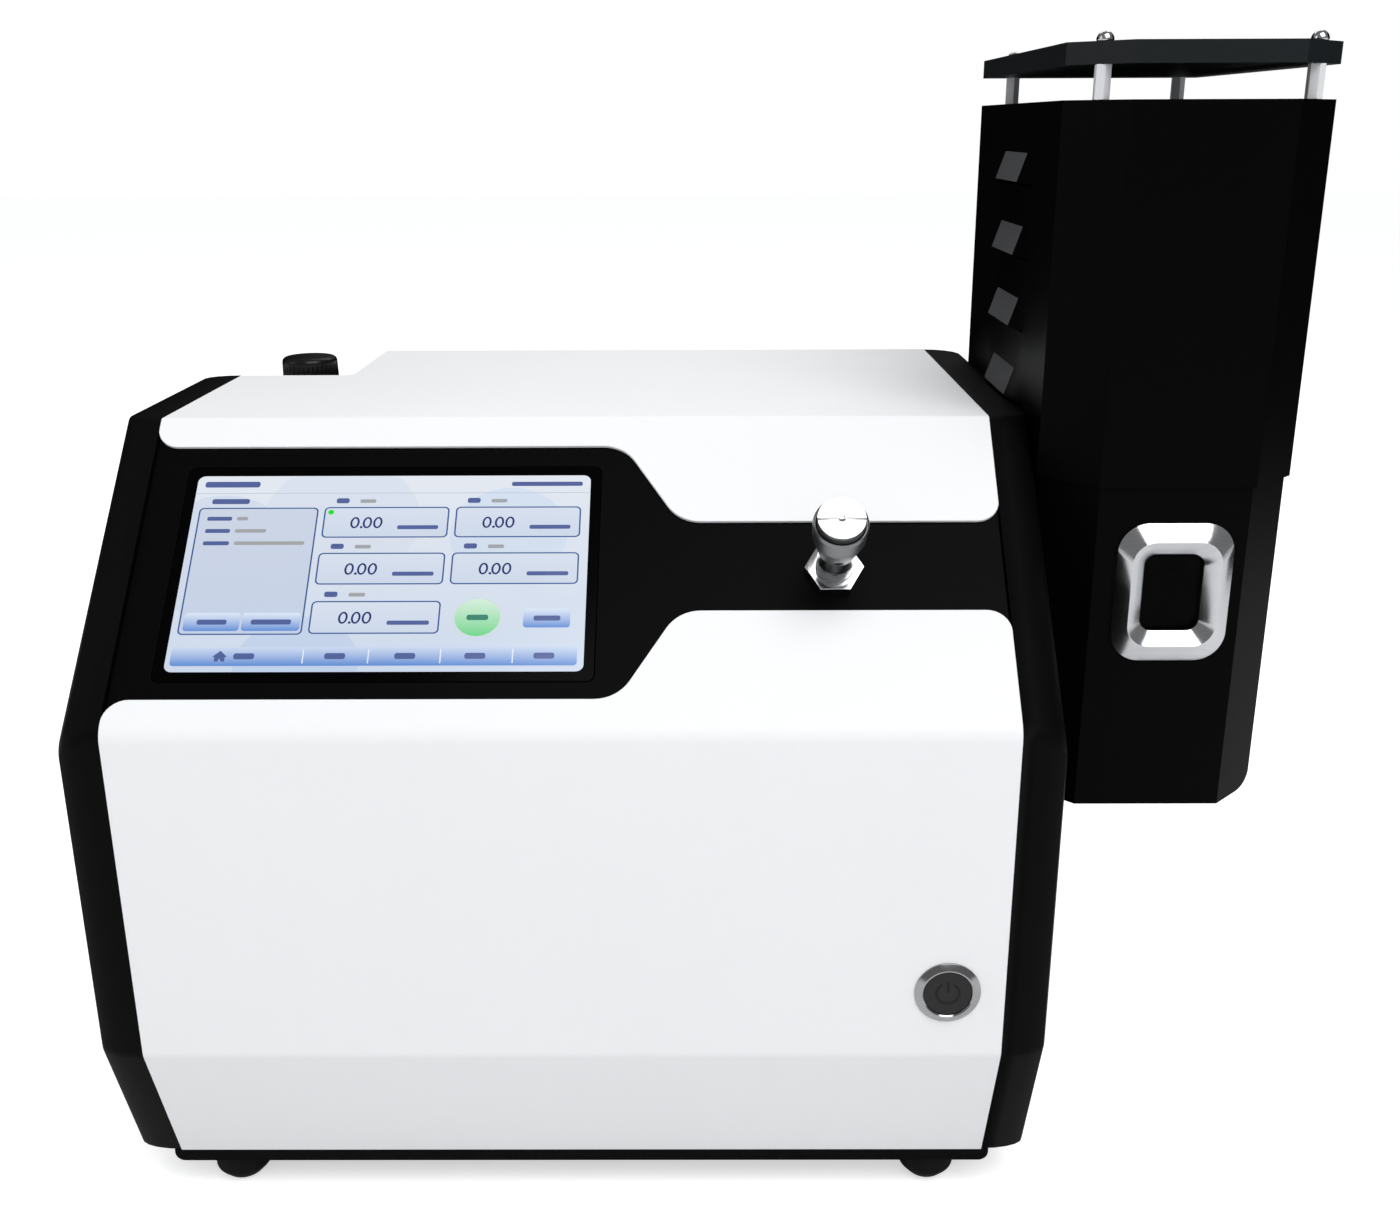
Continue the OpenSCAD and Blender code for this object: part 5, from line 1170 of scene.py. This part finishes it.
@dataclass
class PowerButton(SubAssembly):
    """The metal power button: bevelled head, moving cap with its symbol, nut, spring and contact block."""

    x: float = 143.6
    z: float = 90.2
    head_r: float = 12.6
    head_t: float = 2.0
    cap_r: float = 9.2
    cap_sink: float = 0.7
    cap_l: float = 6.0
    stem_r: float = 3.0
    body_r: float = 10.9
    body_l: float = 24.0
    floor_t: float = 4.0
    hollow_r: float = 5.5
    hollow_foot: float = 8.8
    gap: float = 0.05
    spring_r: float = 5.0
    spring_foot: float = 6.1
    symbol_r: float = 4.3
    symbol_w: float = 1.1

    def axis(self) -> Axis:
        """The button's axis, from the front face to the rear."""
        return Axis((self.x, 0.0, self.z), (0.0, 1.0, 0.0))

    def finish(self, name: str, tone: float, roughness: float) -> Metal:
        """Dark chrome turned about the button's axis."""
        return Metal(name, (tone, tone, tone * 1.03), roughness, 0.08, 3000.0, 0.003, self.axis(), 0.05)

    def turn(self, node: str, corners: list, radii: list[float], finish: Metal, body: str, ends: bool) -> None:
        """Turns a piece about the button's axis and stands it in for its CAD node."""
        grid = turned(rounded(corners, radii), 128)
        self.formed(node, [(grid, self.axis())], finish, Slot.DARK_CHROME, body, ends=ends)

    def build(self) -> None:
        """Turns the head and the cap, draws the symbol and winds the spring."""
        r, t, l = self.head_r, self.head_t, self.body_l
        bore, guide = self.cap_r + self.gap, self.stem_r + self.gap
        head = [
            (bore, -t + 0.5), (bore + 0.5, -t), (r - 2.4, -t), (r, -0.6), (r, 0), (self.body_r, 0), (self.body_r, l),
            (guide, l), (guide, l - self.floor_t), (self.hollow_r, l - self.floor_t),
            (self.hollow_r, self.hollow_foot), (bore, self.hollow_foot),
        ]
        chrome = self.finish("dark_chrome_bezel", 0.4, 0.13)
        self.turn("power_button_housing", head, [0.15, 0.15, 0.3, 0.2, 0, 0, 0.4, 0, 0, 0, 0, 0], chrome, "case", False)
        face, tip = -t + self.cap_sink, l + 0.5
        cap = [
            (0, face + 0.12), (self.cap_r - 1.4, face), (self.cap_r, face), (self.cap_r, self.cap_l),
            (self.stem_r, self.cap_l), (self.stem_r, tip), (0, tip),
        ]
        dark = self.finish("dark_chrome_cap", 0.04, 0.22)
        self.turn("power_button_cap", cap, [0, 0.6, 0.3, 0.3, 0, 0.4, 0], dark, "power_button", True)
        self.keep(self.symbol(face), Workshop.symbol, Slot.DARK_CHROME, "power_button")
        self.dressed(Workshop.screw, "power_button_nut")
        coil = coiled(self.spring_r, 0.5, self.spring_foot, l - self.floor_t - 0.1, 6)
        self.formed(
            "power_button_spring", [(coil, self.axis())], Workshop.spring, Slot.SPRING, form="coil", sharp=60
        )
        self.eased("power_switch_block", Workshop.plastic, Slot.PLASTIC, 0.3)

    def symbol(self, face: float) -> bpy.types.Object:
        """The power symbol: a thin open ring swept through 300 degrees and an upright stroke, in the cap's face."""
        r, w = self.symbol_r, self.symbol_w
        a = np.radians(np.linspace(-60, 240, 61))
        ring = np.stack([np.stack([k * np.cos(a), k * np.sin(a)], 1) for k in (r - w / 2, r + w / 2)], 1)
        stroke = np.array([[(-w / 2, y), (w / 2, y)] for y in (-r - w * 0.6, -0.6)])
        grids = []
        for strip in (ring, stroke):
            low = np.concatenate([strip, np.full((*strip.shape[:2], 1), face + 0.25)], 2)
            high = low.copy()
            high[..., 2] = face - 0.03
            grids.append((np.concatenate([low, high[:, ::-1]], 1), self.axis()))
        return Stock.closed("power_symbol", grids)


@dataclass
class Regulator(SubAssembly):
    """The air regulator: ribbed pressure knob, panel nut, bonnet, body, screw, spring seat and spring."""

    x: float = -138.0
    y: float = 225.0
    knob_foot: float = 258.0
    knob_top: float = 299.0
    foot_r: float = 14.0
    top_r: float = 12.8
    socket_foot: float = 10.0
    socket_top: float = 31.0
    socket_flat: float = 4.05
    skirt_r: float = 11.7
    ribs: int = 36
    rib_deep: float = 0.45
    spring_r: float = 10.0
    spring_foot: float = 213.1
    spring_top: float = 228.8

    def build(self) -> None:
        """Turns the knob with its ribs and dresses the rest."""
        grids = [(self.knob(), Axis((self.x, self.y, self.knob_foot)))]
        self.formed("regulator_knob", grids, Workshop.plastic, Slot.PLASTIC, "pressure_knob", sharp=50)
        for node in ("regulator_nut", "regulator_bonnet"):
            self.eased(node, Workshop.plastic, Slot.PLASTIC, 0.4)
        self.eased("regulator_body", Workshop.zinc, Slot.ZINC, 0.8)
        self.dressed(Workshop.screw, "regulator_screw", "regulator_spring_seat")
        coil = coiled(self.spring_r, 1.0, self.spring_foot, self.spring_top, 4)
        grids = [(coil, Axis((self.x, self.y, 0.0)))]
        self.formed("regulator_spring", grids, Workshop.spring, Slot.SPRING, form="coil", sharp=60)

    def knob(self) -> np.ndarray:
        """Turns the knob.

        The profile leans in from the foot to the shoulder. Between them the radius falls by the rib depth times
        (half plus half the cosine of ribs times the angle) to the fourth power, so the grooves are narrow and round.

        Returns:
            The knob's grid, from its foot up.
        """
        h = self.knob_top - self.knob_foot
        wall = rounded([(self.foot_r, 0), (self.top_r, h - 1.2), (0, h)], [0.8, 2.4, 0], 10)
        corner = self.socket_flat / math.cos(math.pi / 6)
        socket = [(0, self.socket_top), (corner, self.socket_top), (corner, self.socket_foot)]
        skirt = [(self.skirt_r, self.socket_foot), (self.skirt_r, 0)]
        grid = turned(np.concatenate([[*socket, *skirt], densified(wall, 0.8), [(0, h)]]), self.ribs * 10)
        z = grid[..., 2]
        angle = np.arctan2(grid[..., 1], grid[..., 0])
        shape = (0.5 + 0.5 * np.cos(self.ribs * angle)) ** 4
        reach = np.clip(z - 2.5, 0, 1) * np.clip(h - 4.5 - z, 0, 1)
        outside = np.hypot(grid[..., 0], grid[..., 1]) > self.skirt_r + 0.5
        grid[..., :2] *= (1 - np.where(outside, self.rib_deep * shape * reach / self.foot_r, 0))[..., None]
        return grid


@dataclass
class RearServices(SubAssembly):
    """The hose fittings and the mains inlet on the rear panel."""

    def build(self) -> None:
        """Eases the edges of the fittings."""
        for node in ("air_inlet_fitting", "fuel_inlet_fitting"):
            self.eased(node, Workshop.brass, Slot.BRASS, 0.2)
        self.eased("mains_inlet", Workshop.plastic, Slot.PLASTIC, 0.3)
        self.eased("fuse_drawer", Workshop.plastic, Slot.PLASTIC, 0.3, "fuse_drawer")


@dataclass
class InsideWorks(SubAssembly):
    """What works inside the case: gas parts, boards, supply and optics."""

    def build(self) -> None:
        """Dresses the pieces inside."""
        self.dressed(Workshop.brass, "fuel_solenoid_valve")
        self.dressed(Workshop.yellow_hose, "fuel_tube")
        self.dressed(Workshop.blue_hose, "air_tube")
        self.eased("power_supply", Workshop.supply, Slot.SUPPLY, 0.4)
        self.dressed(Workshop.circuit, "main_board", "amplifier_board")
        self.eased("optics_housing", Workshop.base, Slot.BLACK_COAT, 0.5)
        self.dressed(Workshop.lens_glass, "collimating_lens")
        self.dressed(Workshop.filter_glass, "colour_filters")
        self.dressed(Workshop.screw, "photodetectors")


@dataclass
class WindowFrame:
    """The polished bezel round the inspection window: an outer and an inner slope that meet on a ridge."""

    w: float = 45.5
    h: float = 56.5
    opening_w: float = 23.6
    opening_h: float = 31.6
    foot: float = 1.2
    proud: float = 4.6
    ridge: float = 5.4
    deep: float = 0.6
    behind: float = 2.0

    def grid(self) -> np.ndarray:
        """Rings of rounded boxes from the foot, over the ridge, down the inner slope, through and back to the foot."""
        w, h, ow, oh = self.w, self.h, self.opening_w, self.opening_h
        rw, rh = ow + 2.0 * self.ridge, oh + 2.0 * self.ridge
        steps = [
            (w, h, 12.0, 0.0), (w, h, 12.0, -self.foot + 0.15), (w - 0.3, h - 0.3, 11.9, -self.foot),
            (rw + 1.0, rh + 1.0, 9.2, -self.proud + 0.14), (rw + 0.5, rh + 0.5, 9.0, -self.proud),
            (rw, rh, 8.7, -self.proud), (rw - 0.5, rh - 0.5, 8.5, -self.proud + 0.14),
            (ow + 0.4, oh + 0.4, 5.2, -self.deep - 0.15), (ow, oh, 5.0, -self.deep), (ow, oh, 5.0, self.behind),
            (ow + 2.8, oh + 2.8, 6.0, self.behind), (ow + 2.8, oh + 2.8, 6.0, 0.0),
        ]
        return stacked([rounded_box(a, b, r, 14) for a, b, r, _ in steps], [z for *_, z in steps])


@dataclass
class BurnerTower(SubAssembly):
    """The burner housing, the chimney shell with its louvres, the cap plate on its spacers, and the window."""

    left: float = 183.7
    w: float = 100.3
    front: float = 67.0
    d: float = 187.0
    housing_inset: float = 1.8
    window_x: float = 235.75
    window_z: float = 227.35
    spacer_inset: float = 11.8
    cap_top: float = 430.9
    louvre_count: int = 4
    louvre_l: float = 46.0
    louvre_h: float = 12.0
    louvre_out: float = 4.0
    louvre_pitch: float = 29.1
    louvre_z: float = 298.6
    louvre_y: float = 165.3
    dome_r: float = 3.2
    dome_h: float = 3.5
    dome_rim: float = 0.35
    shank_r: float = 1.9
    shank_l: float = 13.8

    def build(self) -> None:
        """Eases the sheet parts, forms the bezel and turns the dome screws."""
        self.eased("tower_bracket", Workshop.base, Slot.BLACK_COAT, 0.3)
        self.eased("burner_housing", Workshop.tower, Slot.BLACK_COAT, 0.8)
        self.eased("chimney_shell", Workshop.tower, Slot.BLACK_COAT, 0.4, merged=False)
        # Painted highlight: grey plates on the louvres' lit faces.
        self.keep(self.painted_louvre_highlights(), Workshop.louvre, Slot.BLACK_COAT)
        self.eased("cap_plate", Workshop.cap, Slot.BLACK_COAT, 0.8)
        self.eased("cap_spacers", Workshop.spacer, Slot.BEZEL, 0.2)
        axis = Axis((self.window_x, self.front + self.housing_inset, self.window_z), (0.0, 1.0, 0.0))
        grids = [(WindowFrame().grid(), axis)]
        self.formed("window_bezel", grids, Workshop.bezel, Slot.BEZEL, ends=False, sharp=18)
        self.dressed(Workshop.window_glass, "window_glass")
        self.domes()

    def painted_louvre_highlights(self) -> bpy.types.Object:
        """Painted highlight on the louvres: a thin grey plate on each pressed hood's sloping face, standing for the
        light that falls on it.
        """
        l, h, out = self.louvre_l / 2 - 0.4, self.louvre_h, self.louvre_out
        grids = []
        for side, wall in ((-1, self.left), (1, self.left + self.w)):
            for k in range(self.louvre_count):
                top = self.louvre_z + h / 2 + k * self.louvre_pitch
                low = np.array([[(side * out * t, y, -h * t) for y in (-l, l)] for t in (0.03, 0.97)])
                skin = low + np.array([side * 0.05, 0, 0.02])
                deep = low - np.array([side * 0.2, 0, 0])
                grids.append((np.concatenate([deep, skin[:, ::-1]], 1), Axis((wall, self.louvre_y, top))))
        return Stock.closed("painted_louvre_highlights", grids)

    def domes(self) -> None:
        """Turns the four dome screws: a round head with a short straight rim over its shank."""
        r, rim, foot = self.dome_r, self.dome_rim, 0.05
        a = np.radians(np.linspace(0, 90, 14))
        head = np.column_stack([r * np.cos(a), rim + (self.dome_h - rim) * np.sin(a)])
        shank = [(0, -self.shank_l), (self.shank_r, -self.shank_l), (self.shank_r, foot), (r - 0.3, foot), (r, rim)]
        grid = turned(np.concatenate([shank, head]), 64)
        inset = self.spacer_inset
        grids = [
            (grid, Axis((x, y, self.cap_top)))
            for x in (self.left + inset, self.left + self.w - inset)
            for y in (self.front + inset, self.front + self.d - inset)
        ]
        self.formed("cap_screws", grids, Workshop.dome, Slot.POLISHED, sharp=50)


@dataclass
class Burner(SubAssembly):
    """What works inside the tower: burner head, mixing chamber, nebulizer, igniter and flame glass."""

    def build(self) -> None:
        """Dresses the burner's pieces."""
        self.dressed(Workshop.brass, "burner_head")
        self.dressed(Workshop.chamber, "mixing_chamber", "nebulizer")
        self.dressed(Workshop.ceramic, "igniter_electrode")
        self.dressed(Workshop.clear_glass, "flame_glass")


# ---------------------------------------------------------------- studio


@dataclass(frozen=True)
class Softbox:
    """A rectangular studio light that looks at a point."""

    name: str
    place: tuple[float, float, float]
    target: tuple[float, float, float]
    size: tuple[float, float]
    power: float

    def build(self) -> None:
        """Adds the light."""
        data = bpy.data.lights.new(self.name, "AREA")
        data.shape = "RECTANGLE"
        data.size, data.size_y = self.size
        data.energy = self.power
        obj = linked(self.name, data)
        obj.location = self.place
        way = Vector(self.target) - Vector(self.place)
        obj.rotation_euler = way.to_track_quat("-Z", "Y").to_euler()


@dataclass(frozen=True)
class Studio:
    """Pale floor, white surroundings, soft lights and the camera at the photograph's place."""

    eye: tuple[float, float, float] = (52.3365, -486.6747, 403.1063)
    pitch: float = 18.3055
    yaw: float = -0.2483
    roll: float = -0.2101
    focal_px: float = 1475.7108
    width_px: int = 1400
    sensor: float = 36.0
    floor_z: float = -20.0
    floor_half: float = 9.0
    floor_gap: float = 0.0002
    floor_glow: float = 0.56
    sky: float = 0.5
    mirrored_sky: float = 0.2
    flag_heights: tuple[float, float] = (0.002, 1.1)

    def camera(self) -> None:
        """Puts the camera at the eye, looking down by the pitch, turned by the yaw and rolled."""
        pitch, yaw, roll = (math.radians(v) for v in (self.pitch, self.yaw, self.roll))
        ahead = np.array([math.sin(yaw) * math.cos(pitch), math.cos(yaw) * math.cos(pitch), -math.sin(pitch)])
        right = np.array([math.cos(yaw), -math.sin(yaw), 0.0])
        up = np.cross(right, ahead)
        right, up = math.cos(roll) * right + math.sin(roll) * up, -math.sin(roll) * right + math.cos(roll) * up
        data = bpy.data.cameras.new("photo_camera")
        data.sensor_width = self.sensor
        data.lens = self.focal_px / self.width_px * self.sensor
        data.clip_start, data.clip_end = 0.01, 60.0
        obj = linked("photo_camera", data)
        turn = Matrix(np.stack([right, up, -ahead], 1).tolist()).to_4x4()
        obj.matrix_world = Matrix.Translation(CASE.metres(self.eye)) @ turn
        bpy.context.scene.camera = obj

    def surroundings(self) -> None:
        """A white world: brightest to the camera, dimmer as a light and dimmest in mirror-like reflections."""
        world = bpy.data.worlds.new("studio_white")
        bpy.context.scene.world = world
        world.use_nodes = True
        world.node_tree.nodes.clear()
        board = Board(world.node_tree)
        seen, lighting, mirrored = (
            board.node("ShaderNodeBackground", {"Color": (*tint, 1), "Strength": strength}).outputs[0]
            for tint, strength in ((grey(1.0), 1.0), ((0.98, 0.99, 1.0), self.sky), (grey(1.0), self.mirrored_sky))
        )
        path = board.node("ShaderNodeLightPath").outputs
        soft = board.node("ShaderNodeMixShader", {0: path["Is Glossy Ray"], 1: lighting, 2: mirrored}).outputs[0]
        both = board.node("ShaderNodeMixShader", {0: path["Is Camera Ray"], 1: soft, 2: seen}).outputs[0]
        board.node("ShaderNodeOutputWorld", {"Surface": both})

    def floor(self) -> None:
        """A plain pale floor: a flat grid that the camera alone sees glow a little."""
        n = 9
        run = np.linspace(-self.floor_half, self.floor_half, n)
        x, y = np.meshgrid(run, run, indexing="ij")
        z = np.full_like(x, CASE.metres([0.0, 0.0, self.floor_z])[2] - self.floor_gap)
        faces = grid_faces(n, n, wrap_columns=False)[:, ::-1].tolist()
        obj = Stock.plain("studio_floor", np.stack([x, y, z], -1), faces)
        dress(obj, Coat("pale_floor", grey(0.86), 0.9, 0.03, 40.0, 0.0, 0.01, 0.0, 0.0))
        board = Board(obj.data.materials[0].node_tree)
        glow = board.times(board.node("ShaderNodeLightPath").outputs["Is Camera Ray"], self.floor_glow)
        emission = {"Emission Color": (1.0, 1.0, 1.0, 1), "Emission Strength": glow}
        board.feed(board.tree.nodes["Principled BSDF"], emission)

    def flag(self, name: str, start: tuple[float, float], end: tuple[float, float]) -> None:
        """A black card that only mirror-like reflections see, so that dark faces stay dark.

        Args:
            name: the card's name.
            start: the X and Y of one foot, in metres.
            end: the X and Y of the other foot.
        """
        low, high = self.flag_heights
        (x0, y0), (x1, y1) = start, end
        corners = [(x0, y0, low), (x1, y1, low), (x1, y1, high), (x0, y0, high)]
        obj = Stock.plain(name, corners, [[0, 1, 2, 3]])
        dress(obj, Coat("black_flag_cloth", grey(0.001), 0.9, 0.03, 200.0, 0.0, 0.2, 0.0, 0.0))
        obj.visible_camera = obj.visible_diffuse = obj.visible_shadow = obj.visible_transmission = False

    def lights(self) -> None:
        """A large light in front, one high on the left and one behind for the edges."""
        middle = (0.0, 0.0, 0.2)
        Softbox("front_softbox", (0.48, -1.21, 1.96), middle, (1.6, 1.6), 30.0).build()
        Softbox("left_softbox", (-1.6, -0.5, 1.0), middle, (0.6, 1.3), 3.0).build()
        Softbox("rear_softbox", (0.3, 1.6, 1.6), middle, (1.6, 0.8), 12.0).build()

    def build(self) -> None:
        """Sets the studio up."""
        self.camera()
        self.surroundings()
        self.floor()
        self.flag("rear_flag", (-2.2, 0.9), (1.4, 0.9))
        self.flag("right_flag", (1.1, -0.1), (1.1, 1.6))
        self.lights()
        view = bpy.context.scene.view_settings
        view.view_transform = "Standard"
        view.look = "None"


def main() -> None:
    """Builds the instrument's sub-assemblies in order, then the studio."""
    logging.basicConfig(level=logging.INFO, format="%(name)s: %(message)s")
    front = [CaseShell(), TouchScreen(), FuelValve(), PowerButton()]
    behind = [Regulator(), RearServices(), InsideWorks(), BurnerTower(), Burner()]
    for part in front + behind:
        part.build()
        for name in part.made:
            LOG.info("%s: %s", type(part).__name__, name)
    Studio().build()


if __name__ == "__main__":
    main()
